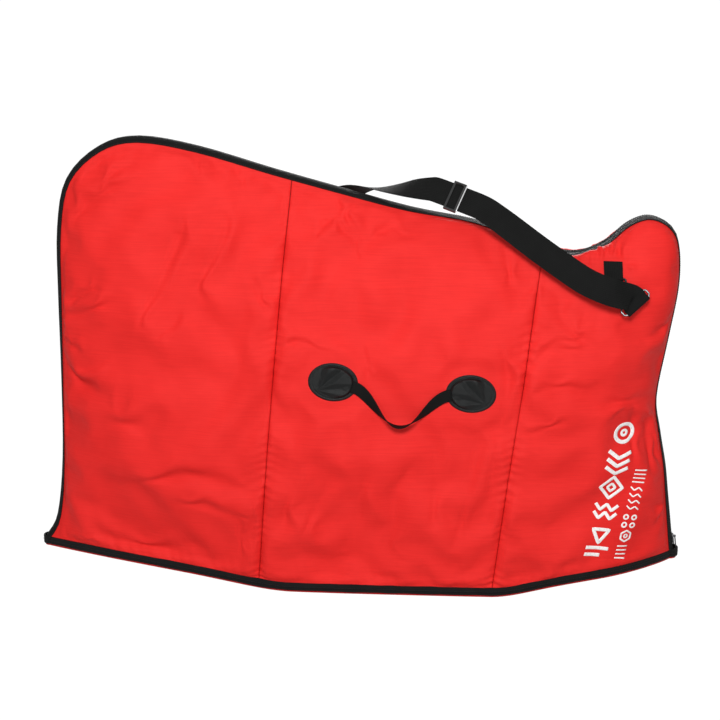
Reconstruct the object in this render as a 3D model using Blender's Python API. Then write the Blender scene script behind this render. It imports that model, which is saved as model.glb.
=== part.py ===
"""Soft travel bag for a road bike with both wheels off.

The bag stands on its base: X runs along its length, -Y is the side that carries the front handle,
+Z is up, and the origin is the middle of the flat underside. Units are metres.
"""
import math

import bmesh
import bpy
import numpy as np
from mathutils import Matrix, Vector

for old in list(bpy.data.objects):
    bpy.data.objects.remove(old)

# Driving sizes of the filled bag
LENGTH = 1.224
HEIGHT = 0.852
DEPTH = 0.280
PADDING = 0.010
CLEARANCE = 0.0003

# The zip line in the middle plane, from the left base corner over the top to the right one:
# x as shares of LENGTH from the origin, z as shares of HEIGHT
ZIP_SHARES = (
    (-0.507, 0.073), (-0.487, 0.128), (-0.474, 0.266), (-0.469, 0.459), (-0.467, 0.647),
    (-0.463, 0.800), (-0.445, 0.908), (-0.395, 0.977), (-0.335, 0.999), (-0.245, 0.978),
    (-0.131, 0.930), (-0.025, 0.888), (0.074, 0.850), (0.172, 0.821), (0.261, 0.771),
    (0.323, 0.750), (0.370, 0.775), (0.402, 0.818), (0.437, 0.835), (0.472, 0.799),
    (0.479, 0.703), (0.467, 0.573), (0.455, 0.438), (0.4641, 0.3521), (0.4747, 0.2758),
    (0.4810, 0.2083), (0.4873, 0.1408), (0.4936, 0.0733))
ZIP_STEPS = 4

# Fields over the side, looked up by place along the length (columns, left to right) and height
# (rows, base to top)
FULLNESS_SHARES = ((0.86, 0.88, 0.89, 0.89, 0.88), (0.93, 0.99, 1.00, 1.00, 0.96),
                   (0.70, 0.74, 0.84, 0.92, 0.88), (0.45, 0.50, 0.55, 0.60, 0.56))
EDGE_ROLL_SHARES = ((0.33, 0.33, 0.26, 0.17, 0.17), (0.17, 0.20, 0.20, 0.16, 0.10),
                    (0.14, 0.17, 0.17, 0.13, 0.08), (0.12, 0.16, 0.16, 0.10, 0.07))
OVERHANG_SHARES = ((0.0, 0.0, 0.0, 0.0, 0.0), (0.13, 0.0, 0.0, 0.0, 0.10),
                   (0.02, 0.0, 0.0, 0.20, 0.12), (0.0, 0.0, 0.10, 0.24, 0.0))
ROLL_POWER_SHARE = 0.8
ROLL_SHARPNESS = 3
OVERHANG_PEAK_SHARE = 0.4

# Base: flat in the middle, turned up towards both ends
FLAT_FROM_SHARE = -0.10
FLAT_TO_SHARE = 0.205
END_RISE = 0.042
RISE_BEND_SHARE = 0.14
BASE_THICKNESS = 0.010
BASE_PAD_THICKNESS = 0.006
BASE_PAD_INSET = 0.016
BINDING_HEIGHT = 0.014
BINDING_THICKNESS = 0.0042
BINDING_DROP = 0.005
BINDING_INSET = 0.001
SEAM_CLEARANCE = 0.0008

# Panels of one side
EDGE_THICKNESS = 0.003
EDGE_DEPTH = 0.0095
LEFT_SEAM_FOOT_SHARE = -0.155
LEFT_SEAM_TOP_SHARE = -0.103
RIGHT_SEAM_FOOT_SHARE = 0.208
RIGHT_SEAM_TOP_SHARE = 0.268
PANEL_GAP = 0.0008
FOOT_SQUARING = 3
PANEL_ROWS = 18
PANEL_COLUMNS = {"left": 12, "middle": 11, "right": 12}
PANEL_HEIGHT_SHARE = 0.8
EDGE_READING_SHARE = 0.5
BEND_SHARE = 0.1

# Zip
COIL_WIDTH = 0.0029
COIL_THICKNESS = 0.0026
CHAIN_GAP = 0.0022
TAPE_THICKNESS = 0.0008
TAPE_STAND = 0.0019
TAPE_OVERLAP = 0.008
TAPE_CLEARANCE = 0.0009
FLAT_TAPE_DEPTH = 0.0068
ZIP_RISE = 0.0016
FRONT_CHAIN_END = 0.034


def curve_weights(place, count):
    """Weights of a smooth curve through `count` evenly spaced values; place runs from 0 to 1."""
    at = np.clip(np.asarray(place, float), 0, 1) * (count - 1)
    cell = np.minimum(at.astype(int), count - 2)
    f = (at - cell)[..., None]
    bases = (-f + 2 * f**2 - f**3, 2 - 5 * f**2 + 3 * f**3, f + 4 * f**2 - 3 * f**3, f**3 - f**2)
    weights = 0
    for step, basis in enumerate(bases, -1):
        nearest = np.clip(cell + step, 0, count - 1)[..., None]
        weights = weights + basis / 2 * (np.arange(count) == nearest)
    return weights


def curve(points, samples):
    points = np.asarray(points, float)
    return curve_weights(np.linspace(0, 1, samples), len(points)) @ points


def field(shares, x, z):
    """A smooth field over the side, from a table of shares with its rows from the base up."""
    table = np.asarray(shares)
    columns = curve_weights(x / LENGTH + 0.5, table.shape[1])
    rows = curve_weights(z / HEIGHT, table.shape[0])
    return (rows @ table * columns).sum(-1)


ZIP_LINE = curve(np.multiply(ZIP_SHARES, (LENGTH, HEIGHT)), (len(ZIP_SHARES) - 1) * ZIP_STEPS + 1)


def zip_distance(x, z):
    """Smooth distance to the zip line: the line integral of 1/d^4, turned back into a distance.

    It equals the plain distance beside a straight run, and rounds off between two runs.
    """
    start = ZIP_LINE[:-1]
    run = np.linalg.norm(np.diff(ZIP_LINE, axis=0), axis=1)
    along = np.diff(ZIP_LINE, axis=0) / run[:, None]
    to_point = np.stack((x, z), -1)[..., None, :] - start
    low = -(to_point * along).sum(-1)
    beside = (to_point**2).sum(-1) - low**2
    beside = np.maximum(beside, (EDGE_THICKNESS / 6) ** 2)

    def integral(end):
        return end / (2 * beside * (beside + end**2)) + np.arctan(end / beside**0.5) / (2 * beside**1.5)

    total = (integral(low + run) - integral(low)).sum(-1)
    return (2 / math.pi * total) ** (-1 / 3)


def towards_zip(x, z):
    """Unit-like direction to the nearest run of the zip; it fades where runs face each other."""
    step = EDGE_THICKNESS / 3
    dx = zip_distance(x + step, z) - zip_distance(x - step, z)
    dz = zip_distance(x, z + step) - zip_distance(x, z - step)
    return -np.stack((dx, dz), -1) / (2 * step)


def roll(x, z):
    """0 at the zip, rising to 1 where the side has reached its full depth."""
    t = zip_distance(x, z) / (field(EDGE_ROLL_SHARES, x, z) * LENGTH)
    return (t / (1 + t**ROLL_SHARPNESS) ** (1 / ROLL_SHARPNESS)) ** ROLL_POWER_SHARE


def side_point(x, z):
    """Outer face of the front side over a place in the middle plane."""
    x, z = np.broadcast_arrays(np.asarray(x, float), np.asarray(z, float))
    t = zip_distance(x, z) / (field(EDGE_ROLL_SHARES, x, z) * LENGTH) / OVERHANG_PEAK_SHARE
    bulge = (field(OVERHANG_SHARES, x, z) * DEPTH / 2 * t * np.exp(1 - t))[..., None] * towards_zip(x, z)
    depth = EDGE_DEPTH + (field(FULLNESS_SHARES, x, z) * DEPTH / 2 - EDGE_DEPTH) * roll(x, z)
    return np.stack((x + bulge[..., 0], -depth, z + bulge[..., 1]), -1)


def side_normal(x, z):
    """Outward direction of the front side, which has none on the zip line itself."""
    x, z = np.broadcast_arrays(np.asarray(x, float), np.asarray(z, float))
    step = EDGE_THICKNESS / 3
    across = side_point(x + step, z) - side_point(x - step, z)
    upward = side_point(x, z + step) - side_point(x, z - step)
    normal = np.cross(across, upward)
    return normal / np.linalg.norm(normal, axis=-1, keepdims=True)


def base_rise(x):
    """Height of the underside: nought over the flat, then a soft upturn to each end."""
    low, high = FLAT_FROM_SHARE * LENGTH, FLAT_TO_SHARE * LENGTH
    ends = ZIP_LINE[0, 0], ZIP_LINE[-1, 0]
    t = np.clip(np.maximum((x - low) / (ends[0] - low), (x - high) / (ends[1] - high)), 0, 1)
    return END_RISE * (1 + RISE_BEND_SHARE) * t**2 / (t**2 + RISE_BEND_SHARE)


SEAM_HEIGHT = BINDING_DROP + BINDING_HEIGHT / 2
PANEL_FOOT = BINDING_DROP + BINDING_HEIGHT + SEAM_CLEARANCE


def half_width(x):
    """Half of the base's width at x, read from the side where it meets the base seam."""
    return -side_point(x, base_rise(x) + PANEL_FOOT)[..., 1]


def mirrored(points, side):
    """Points of the front side (side -1), or their mirror image on the back (side +1)."""
    return np.asarray(points) * (1, -side, 1)


def finish(name, colour, roughness, metallic=0.0):
    material = bpy.data.materials.new(name)
    material.use_nodes = True
    shader = material.node_tree.nodes["Principled BSDF"]
    shader.inputs["Base Color"].default_value = (*colour, 1)
    shader.inputs["Roughness"].default_value = roughness
    shader.inputs["Metallic"].default_value = metallic
    return material


RED_CLOTH = finish("red_padded_nylon", (0.80, 0.04, 0.03), 0.55)
BASE_CLOTH = finish("red_base_nylon", (0.60, 0.03, 0.02), 0.6)
FOAM = finish("grey_foam", (0.12, 0.12, 0.12), 0.9)
BINDING = finish("black_binding", (0.012, 0.012, 0.012), 0.7)
ZIP_TAPE = finish("black_zip", (0.010, 0.010, 0.010), 0.6)
WEBBING = finish("black_webbing", (0.015, 0.015, 0.015), 0.75)
PATCH = finish("black_leather", (0.018, 0.018, 0.017), 0.4)
PLASTIC = finish("black_plastic", (0.012, 0.012, 0.012), 0.35)
DARK_METAL = finish("dark_metal", (0.10, 0.10, 0.10), 0.3, 1.0)
STEEL = finish("steel", (0.55, 0.55, 0.56), 0.25, 1.0)

places = {}


def add_piece(name, mesh, material=None, origin=(0, 0, 0), carrier=None, smooth=True):
    """Link a mesh given in world space as an object whose origin is `origin`."""
    mesh.name = name
    mesh.transform(Matrix.Translation(-Vector(origin)))
    if smooth:
        mesh.shade_smooth()
        mesh.set_sharp_from_angle(angle=math.radians(40))
    if material:
        mesh.materials.append(material)
    piece = bpy.data.objects.new(name, mesh)
    bpy.context.collection.objects.link(piece)
    places[name] = Vector(origin)
    if carrier:
        piece.parent = carrier
        piece.location = places[name] - places[carrier.name]
    else:
        piece.location = places[name]
    return piece


def add_hinge_empty(name, place):
    empty = bpy.data.objects.new(name, None)
    bpy.context.collection.objects.link(empty)
    empty.location = place
    places[name] = Vector(place)
    return empty


def closed_mesh(vertices, faces):
    mesh = bpy.data.meshes.new("form")
    mesh.from_pydata([tuple(v) for v in vertices], [], faces)
    work = bmesh.new()
    work.from_mesh(mesh)
    bmesh.ops.recalc_face_normals(work, faces=work.faces)
    bmesh.ops.triangulate(work, faces=work.faces, quad_method="SHORT_EDGE")
    work.to_mesh(mesh)
    work.free()
    return mesh


def skin(rings, looped=False):
    """A closed body through rings of points, with capped ends or joined end to start."""
    rings = np.asarray(rings)
    count, points = rings.shape[:2]
    spans = count if looped else count - 1
    faces = []
    for i in range(spans):
        for j in range(points):
            after, beside = (i + 1) % count, (j + 1) % points
            faces.append((i * points + j, i * points + beside, after * points + beside, after * points + j))
    if not looped:
        faces.append(tuple(range(points)))
        faces.append(tuple(range((count - 1) * points, count * points)))
    return closed_mesh(rings.reshape(-1, 3), faces)


def sheet(outer, inner):
    """A closed padded sheet between two grids of points."""
    rows, columns = outer.shape[:2]
    shift = rows * columns
    faces = []
    for i in range(rows - 1):
        for j in range(columns - 1):
            quad = (i * columns + j, i * columns + j + 1, (i + 1) * columns + j + 1, (i + 1) * columns + j)
            faces.append(quad)
            faces.append(tuple(k + shift for k in reversed(quad)))
    rim = [j for j in range(columns)]
    rim += [i * columns + columns - 1 for i in range(1, rows)]
    rim += [(rows - 1) * columns + j for j in range(columns - 2, -1, -1)]
    rim += [i * columns for i in range(rows - 2, 0, -1)]
    for here, after in zip(rim, rim[1:] + rim[:1]):
        faces.append((after, here, here + shift, after + shift))
    return closed_mesh(np.concatenate((outer.reshape(-1, 3), inner.reshape(-1, 3))), faces)


def unit(vector):
    return vector / np.linalg.norm(vector, axis=-1, keepdims=True)


def directions(path, looped=False):
    if looped:
        return unit(np.roll(path, -1, axis=0) - np.roll(path, 1, axis=0))
    return unit(np.gradient(path, axis=0))


def tube(path, normal, in_plane, out_of_plane, sides=8, looped=False):
    """A round bar bent in the plane across `normal`, with its two half-thicknesses at each point."""
    path = np.asarray(path, float)
    beside = np.cross(directions(path, looped), normal)
    angles = np.arange(sides) * 2 * math.pi / sides + math.pi / sides
    in_plane = np.broadcast_to(in_plane, len(path))[:, None, None]
    out_of_plane = np.broadcast_to(out_of_plane, len(path))[:, None, None]
    rings = (path[:, None] + in_plane * np.cos(angles)[None, :, None] * beside[:, None]
             + out_of_plane * np.sin(angles)[None, :, None] * np.asarray(normal, float))
    return skin(rings, looped)


def ribbon(centres, widths, thick_directions, width, thickness):
    """A flat strap through centres, with its width and thickness directions at each of them."""
    across = unit(np.asarray(widths)) * width / 2
    through = unit(np.asarray(thick_directions)) * thickness / 2
    centres = np.asarray(centres)
    rings = np.stack((centres - across - through, centres + across - through,
                      centres + across + through, centres - across + through), 1)
    return skin(rings)


def block(low, high):
    corners = np.array([low, high])
    work = bmesh.new()
    bmesh.ops.create_cube(work, size=1, matrix=Matrix.Translation(corners.mean(0))
                          @ Matrix.Diagonal((*(corners[1] - corners[0]), 1)))
    mesh = bpy.data.meshes.new("block")
    work.to_mesh(mesh)
    work.free()
    return mesh


def rod(start, end, radius, sides=16):
    start, end = Vector(start), Vector(end)
    turn = (end - start).to_track_quat("Z", "Y").to_matrix().to_4x4()
    work = bmesh.new()
    bmesh.ops.create_cone(work, cap_ends=True, segments=sides, radius1=radius, radius2=radius,
                          depth=(end - start).length, matrix=Matrix.Translation((start + end) / 2) @ turn)
    mesh = bpy.data.meshes.new("rod")
    work.to_mesh(mesh)
    work.free()
    return mesh


def prism(outline, low, high):
    """An outline in the first two directions, drawn out along the third from low to high."""
    rings = [[(*point, level) for point in outline] for level in (low, high)]
    return skin(rings)


def combine(piece, mesh, frame, operation):
    """Cut a mesh out of a piece, or join it on, with a live Boolean; the mesh is in `frame`."""
    mesh.transform(frame)
    tool = add_piece(f"{piece.name}_{operation.lower()}_{len(piece.modifiers)}", mesh,
                     origin=places[piece.name], smooth=False)
    tool.hide_render = True
    tool.display_type = "WIRE"
    boolean = piece.modifiers.new(operation.title(), "BOOLEAN")
    boolean.operation = operation
    boolean.object = tool


def soften(piece, width, segments=2):
    bevel = piece.modifiers.new("Softened edges", "BEVEL")
    bevel.width = width
    bevel.segments = segments
    bevel.limit_method = "ANGLE"
    bevel.angle_limit = math.radians(35)


# Base of the bag: cloth over foam, its two bindings, the loose pad inside and its tie straps
BASE_STATIONS = 36
BASE_END_INSET = 0.004
BASE_PAD_END_STATIONS = 4
seam_x = np.linspace(ZIP_LINE[0, 0] + BASE_END_INSET, ZIP_LINE[-1, 0] - BASE_END_INSET, BASE_STATIONS)
SEAM = np.stack((seam_x, -half_width(seam_x), base_rise(seam_x)), -1)
SEAM_RUN = directions(SEAM)
SEAM_OUT = unit(np.cross(SEAM_RUN, (0, 0, 1)))


def base_slab(name, material, inset, low, high, dropped_stations):
    """A slab between the two base seams, kept `inset` inside them."""
    edge = (SEAM - SEAM_OUT * inset)[dropped_stations:BASE_STATIONS - dropped_stations]
    low, high = np.array((0, 0, low)), np.array((0, 0, high))
    rings = np.stack((edge + low, mirrored(edge, 1) + low, mirrored(edge, 1) + high, edge + high), 1)
    return add_piece(name, skin(rings), material)


base_slab("base_panel", BASE_CLOTH, BINDING_INSET + BINDING_THICKNESS / 2 + CLEARANCE, 0, BASE_THICKNESS, 1)
base_slab("base_pad", FOAM, BASE_PAD_INSET, BASE_THICKNESS + CLEARANCE,
          BASE_THICKNESS + CLEARANCE + BASE_PAD_THICKNESS, BASE_PAD_END_STATIONS)


def base_binding(name, side):
    line = SEAM - SEAM_OUT * BINDING_INSET + np.array((0, 0, SEAM_HEIGHT))
    upward = np.cross(SEAM_OUT, SEAM_RUN)
    angles = np.arange(8) * math.pi / 4 + math.pi / 8
    reach = 1 / math.cos(math.pi / 8)
    rings = (line[:, None]
             + SEAM_OUT[:, None] * (BINDING_THICKNESS / 2 * reach * np.cos(angles))[None, :, None]
             + upward[:, None] * (BINDING_HEIGHT / 2 * reach * np.sin(angles))[None, :, None])
    return add_piece(name, skin(mirrored(rings, side)), BINDING)


base_binding("front_base_binding", -1)
base_binding("back_base_binding", 1)

TIE_PLACE_SHARES = {"left_tie_strap": -0.06, "right_tie_strap": 0.14}
TIE_WIDTH = 0.025
TIE_THICKNESS = 0.002
TIE_LENGTH = 0.19
for tie, share in TIE_PLACE_SHARES.items():
    floor = BASE_THICKNESS + BASE_PAD_THICKNESS + 2 * CLEARANCE
    tie_mesh = block((share * LENGTH - TIE_WIDTH / 2, -TIE_LENGTH / 2, floor),
                     (share * LENGTH + TIE_WIDTH / 2, TIE_LENGTH / 2, floor + TIE_THICKNESS))
    add_piece(tie, tie_mesh, WEBBING, smooth=False)


# The two sides, each of three padded panels sewn at two upright seams
FLAP_HINGE = (0, BINDING_INSET - half_width(0.0), SEAM_HEIGHT)
flap = add_hinge_empty("flap_hinge", FLAP_HINGE)


def seam_line(foot_share, top_share, shift, fractions):
    """A panel seam in the middle plane, from the base to the zip line above it."""
    foot = np.array((foot_share * LENGTH + shift, 0.0))
    foot[1] = base_rise(foot[0]) + PANEL_FOOT
    top_x = top_share * LENGTH + shift
    crossing = np.nonzero(np.diff(np.sign(ZIP_LINE[:, 0] - top_x)) > 0)[0][0]
    before, after = ZIP_LINE[crossing], ZIP_LINE[crossing + 1]
    part = (top_x - before[0]) / (after[0] - before[0])
    top = before + (after - before) * part
    return foot + (top - foot) * fractions[:, None], crossing + part


def steps(count, before_first=0.0, after_last=0.0):
    """Even fractions from 0 to 1, with one more narrow step beside an edge that the zip tape laps."""
    fractions = np.linspace(0, 1, count)
    first = (before_first,) if before_first else ()
    last = (1 - after_last,) if after_last else ()
    return np.concatenate((fractions[:1], first, fractions[1:-1], last, fractions[-1:]))


def zip_stretch(start, end, fractions):
    """Points of the zip line between two of its steps, closer together where the line bends."""
    order = np.arange(len(ZIP_LINE))
    inner = (order > start) & (order < end)
    tips = [[np.interp(at, order, ZIP_LINE[:, k]) for k in (0, 1)] for at in (start, end)]
    line = np.vstack((tips[0], ZIP_LINE[inner], tips[1]))
    runs = np.diff(line, axis=0)
    heading = np.unwrap(np.arctan2(runs[:, 1], runs[:, 0]))
    bend = np.abs(np.gradient(heading)) * BEND_SHARE * LENGTH
    reach = np.concatenate(((0,), np.cumsum(np.linalg.norm(runs, axis=1) + bend)))
    return np.stack([np.interp(fractions * reach[-1], reach, line[:, k]) for k in (0, 1)], -1)


def foot_line(start, end, fractions):
    x = start + (end - start) * fractions
    return np.stack((x, base_rise(x) + PANEL_FOOT), -1)


def fill_patch(bottom, top, left, right, across, upward):
    """A grid between four edge lines, each corner shared by two of them."""
    u, v = across[None, :, None], upward[:, None, None]
    ruled = (1 - v) * bottom + v * top + (1 - u) * left[:, None] + u * right[:, None]
    corners = ((1 - u) * (1 - v) * bottom[0] + u * (1 - v) * bottom[-1]
               + (1 - u) * v * top[0] + u * v * top[-1])
    return ruled - corners


TOP_LEFT_STEP = 6.4 * ZIP_STEPS
TOP_RIGHT_STEP = 18.6 * ZIP_STEPS
LAST_STEP = len(ZIP_LINE) - 1


def side_patches():
    """Grids in the middle plane for the left, middle and right panels of a side."""
    gap = PANEL_GAP / 2
    lapped = TAPE_OVERLAP / LENGTH
    upward = steps(PANEL_ROWS, after_last=lapped * LENGTH / (PANEL_HEIGHT_SHARE * HEIGHT))
    left_seam, left_step = seam_line(LEFT_SEAM_FOOT_SHARE, LEFT_SEAM_TOP_SHARE, -gap, upward)
    middle_left, middle_start = seam_line(LEFT_SEAM_FOOT_SHARE, LEFT_SEAM_TOP_SHARE, gap, upward)
    middle_right, middle_end = seam_line(RIGHT_SEAM_FOOT_SHARE, RIGHT_SEAM_TOP_SHARE, -gap, upward)
    right_seam, right_step = seam_line(RIGHT_SEAM_FOOT_SHARE, RIGHT_SEAM_TOP_SHARE, gap, upward)
    from_zip = steps(PANEL_COLUMNS["left"], before_first=lapped / (LEFT_SEAM_FOOT_SHARE - ZIP_SHARES[0][0]))
    even = steps(PANEL_COLUMNS["middle"])
    to_zip = steps(PANEL_COLUMNS["right"], after_last=lapped / (ZIP_SHARES[-1][0] - RIGHT_SEAM_FOOT_SHARE))
    left = fill_patch(foot_line(ZIP_LINE[0, 0], left_seam[0, 0], from_zip),
                      zip_stretch(TOP_LEFT_STEP, left_step, from_zip),
                      zip_stretch(0, TOP_LEFT_STEP, upward), left_seam, from_zip, upward)
    middle = fill_patch(foot_line(middle_left[0, 0], middle_right[0, 0], even),
                        zip_stretch(middle_start, middle_end, even),
                        middle_left, middle_right, even, upward)
    right_end = zip_stretch(TOP_RIGHT_STEP, LAST_STEP, 1 - upward)
    right = fill_patch(foot_line(right_seam[0, 0], ZIP_LINE[-1, 0], to_zip),
                       zip_stretch(right_step, TOP_RIGHT_STEP, to_zip),
                       right_seam, right_end, to_zip, upward)
    return {"left": left, "middle": middle, "right": right}


def level_at_foot(normal, x, z):
    """The outward direction, turned level along the panel's foot so that the foot is cut square."""
    above = np.clip((z - base_rise(x) - PANEL_FOOT) / (FOOT_SQUARING * PADDING), 0, 1)
    return unit(normal * np.stack((np.ones_like(above), np.ones_like(above), above), -1))


PATCHES = side_patches()


def patch_normals(part):
    """Outward directions of a panel's points; those of its zip edge are read a little further in."""
    grid = PATCHES[part]
    read = grid.copy()
    read[-1] += (grid[-2] - grid[-1]) * EDGE_READING_SHARE
    if part == "left":
        read[:, 0] += (grid[:, 1] - grid[:, 0]) * EDGE_READING_SHARE
    if part == "right":
        read[:, -1] += (grid[:, -2] - grid[:, -1]) * EDGE_READING_SHARE
    return side_normal(read[..., 0], read[..., 1])


PATCH_POINTS = {part: side_point(grid[..., 0], grid[..., 1]) for part, grid in PATCHES.items()}
PATCH_NORMALS = {part: patch_normals(part) for part in PATCHES}
SIDES = {"front": (-1, flap), "back": (1, None)}

for label, (side, carrier) in SIDES.items():
    for part, grid in PATCHES.items():
        x, z = grid[..., 0], grid[..., 1]
        thickness = EDGE_THICKNESS + (PADDING - EDGE_THICKNESS) * roll(x, z)
        outer = PATCH_POINTS[part]
        inner = outer - level_at_foot(PATCH_NORMALS[part], x, z) * thickness[..., None]
        add_piece(f"{label}_panel_{part}", sheet(mirrored(outer, side), mirrored(inner, side)), RED_CLOTH,
                  FLAP_HINGE if carrier else (0, 0, 0), carrier)


# Zip: each half is a coil on a tape, which laps the panels' edges from their own edge points
def edge_and_partner(values):
    """Values at the panels' edge points along the zip, and at the points one step further in."""
    left, middle, right = (values[part] for part in ("left", "middle", "right"))
    edge = np.concatenate((left[:-1, 0], left[-1, :-1], middle[-1, :-1], right[-1, :-1], right[::-1, -1]))
    left_corner = left[-2, 1] + left[-3, 1], left[-2, 1] * 2, left[-2, 1] + left[-2, 2]
    right_corner = right[-2, -2] + right[-2, -3], right[-2, -2] * 2, right[-2, -2] + right[-3, -2]
    partner = np.concatenate((left[:-2, 1], np.array(left_corner) / 2, left[-2, 2:-1], middle[-2, :-1],
                              right[-2, :-2], np.array(right_corner) / 2, right[-3::-1, -2]))
    return edge, partner


chain_stations = edge_and_partner(PATCHES)[0]
tape_points = edge_and_partner(PATCH_POINTS)
tape_normals = edge_and_partner(PATCH_NORMALS)
chain_up = unit(ZIP_LINE[-1 - ZIP_STEPS] - ZIP_LINE[-1])
chain_out = np.array((chain_up[1], -chain_up[0]))


def zip_half(name, side, carrier, kept):
    """One coil and tape over the kept edge points; the last kept point moves to the chain's end."""
    stations = chain_stations[kept].copy()
    stations[-1] = chain_ends[side]
    run = directions(stations)
    outward = np.stack((-run[:, 1], run[:, 0]), -1)
    coil_in = CHAIN_GAP / 2
    coil_out = coil_in + COIL_WIDTH
    low, high = ZIP_RISE - COIL_THICKNESS / 2, ZIP_RISE + COIL_THICKNESS / 2

    def off_line(depth, out):
        place = stations + outward * out
        return np.stack((place[:, 0], np.full(len(place), -depth), place[:, 1]), -1)

    under = [(points + normals * TAPE_CLEARANCE)[kept] for points, normals in zip(tape_points, tape_normals)]
    over = [low_side + (normals * TAPE_THICKNESS)[kept] for low_side, normals in zip(under, tape_normals)]
    tape_start = coil_out + TAPE_THICKNESS / 2
    tape_low, tape_high = TAPE_STAND - TAPE_THICKNESS / 2, TAPE_STAND + TAPE_THICKNESS / 2
    profile = [off_line(coil_in, high), off_line(coil_out, high), off_line(FLAT_TAPE_DEPTH, tape_high),
               *over, *reversed(under), off_line(FLAT_TAPE_DEPTH, tape_low),
               off_line(tape_start, tape_low), off_line(coil_out, low), off_line(coil_in, low)]
    add_piece(name, skin(mirrored(np.stack(profile, 1), side)), ZIP_TAPE,
              FLAP_HINGE if carrier else (0, 0, 0), carrier)


above_slider = (chain_stations[:, 1] > ZIP_LINE[-1, 1] + FRONT_CHAIN_END) | (chain_stations[:, 0] < 0)
chain_ends = {1: ZIP_LINE[-1], -1: chain_stations[above_slider][-1]}
zip_half("back_zip_half", 1, None, np.full(len(chain_stations), True))
zip_half("front_zip_half", -1, flap, above_slider)


# Zip slider at the closed end of the chain, and its pull tab
SLIDER_LENGTH = 0.024
SLIDER_HEAD_WIDTH = 0.0130
SLIDER_TAIL_WIDTH = 0.0124
SLIDER_OUTLINE_SHARES = ((-0.8, -1.0), (0.8, -1.0), (1.0, -0.8), (1.0, 0.5), (0.7, 1.0),
                         (-0.7, 1.0), (-1.0, 0.5), (-1.0, -0.8))
SLIDER_PLATE = 0.002
SLIDER_PLAY = 0.0006
SLIDER_WALL = 0.0011
SLIDER_POST_WIDTH = 0.0016
SLIDER_POST_SHARES = (0.55, 0.9)
SLIDER_END_ROOM = 0.006
BRIDGE_RADIUS = 0.0009
BRIDGE_SPREAD = 0.0034
BRIDGE_STAND = 0.0029
BRIDGE_PLACE = 0.004
TAB_WIDTH = 0.009
TAB_LENGTH = 0.034
TAB_THICKNESS = 0.0018
TAB_HOLE_PLAY = 0.0004
TAB_TIP_SHARES = (0.6, 0.92)

slider_middle = ZIP_LINE[-1] + chain_up * (SLIDER_END_ROOM + SLIDER_LENGTH / 2) + chain_out * ZIP_RISE
SLIDER_PLACE = Vector((slider_middle[0], 0, slider_middle[1]))
slider_frame = Matrix((
    (0, chain_up[0], chain_out[0], SLIDER_PLACE.x),
    (1, 0, 0, 0),
    (0, chain_up[1], chain_out[1], SLIDER_PLACE.z),
    (0, 0, 0, 1)))

channel = COIL_THICKNESS / 2 + SLIDER_PLAY
head, tail, long = SLIDER_HEAD_WIDTH / 2, SLIDER_TAIL_WIDTH / 2, SLIDER_LENGTH / 2
slider_outline = [(across * (head if along > 0 else tail), along * long)
                  for across, along in SLIDER_OUTLINE_SHARES]
slider_body = prism(slider_outline, -channel - SLIDER_PLATE, channel + SLIDER_PLATE)
slider_body.transform(slider_frame)
slider = add_piece("zip_slider", slider_body, DARK_METAL, SLIDER_PLACE, smooth=False)
inside = tail - SLIDER_WALL
combine(slider, block((-inside, -LENGTH, -channel), (inside, LENGTH, channel)), slider_frame, "DIFFERENCE")
slot_half = TAPE_THICKNESS / 2 + SLIDER_PLAY
slot_middle = TAPE_STAND - ZIP_RISE
combine(slider, block((-DEPTH, -LENGTH, slot_middle - slot_half), (DEPTH, LENGTH, slot_middle + slot_half)),
        slider_frame, "DIFFERENCE")
post_reach = channel + SLIDER_PLATE / 2
post_low, post_high = (share * long for share in SLIDER_POST_SHARES)
combine(slider, block((-SLIDER_POST_WIDTH / 2, post_low, -post_reach),
                      (SLIDER_POST_WIDTH / 2, post_high, post_reach)), slider_frame, "UNION")
bridge_height = channel + SLIDER_PLATE + BRIDGE_STAND
bridge_path = [(-BRIDGE_SPREAD, BRIDGE_PLACE, post_reach), (-BRIDGE_SPREAD, BRIDGE_PLACE, bridge_height),
               (BRIDGE_SPREAD, BRIDGE_PLACE, bridge_height), (BRIDGE_SPREAD, BRIDGE_PLACE, post_reach)]
combine(slider, tube(bridge_path, (0, 1, 0), BRIDGE_RADIUS, BRIDGE_RADIUS), slider_frame, "UNION")

pull_place = slider_frame @ Vector((0, BRIDGE_PLACE, bridge_height))
half_tab = BRIDGE_SPREAD - BRIDGE_RADIUS - CLEARANCE
tab_top = BRIDGE_RADIUS + TAB_HOLE_PLAY + TAB_THICKNESS / 2
tip_width, tip_start = TAB_TIP_SHARES[0] * TAB_WIDTH / 2, TAB_TIP_SHARES[1] * TAB_LENGTH
right_outline = [(half_tab, tab_top), (half_tab, -tab_top), (TAB_WIDTH / 2, -tab_top * 2),
                 (TAB_WIDTH / 2, -tip_start), (tip_width, -TAB_LENGTH)]
tab_outline = [(-across, along) for across, along in right_outline] + right_outline[::-1]
tab_frame = slider_frame @ Matrix.Translation((0, BRIDGE_PLACE, bridge_height))
tab_mesh = prism(tab_outline, -TAB_THICKNESS / 2, TAB_THICKNESS / 2)
tab_mesh.transform(tab_frame)
tab = add_piece("zip_pull", tab_mesh, DARK_METAL, pull_place, slider, smooth=False)
boss = rod((-half_tab, 0, 0), (half_tab, 0, 0), BRIDGE_RADIUS + TAB_HOLE_PLAY + TAB_THICKNESS / 2)
combine(tab, boss, tab_frame, "UNION")
combine(tab, rod((-TAB_WIDTH, 0, 0), (TAB_WIDTH, 0, 0), BRIDGE_RADIUS + TAB_HOLE_PLAY), tab_frame, "DIFFERENCE")


# Places on the outer face of a side, given by where they are seen from the front
PLACE_TRIES = 14


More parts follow.
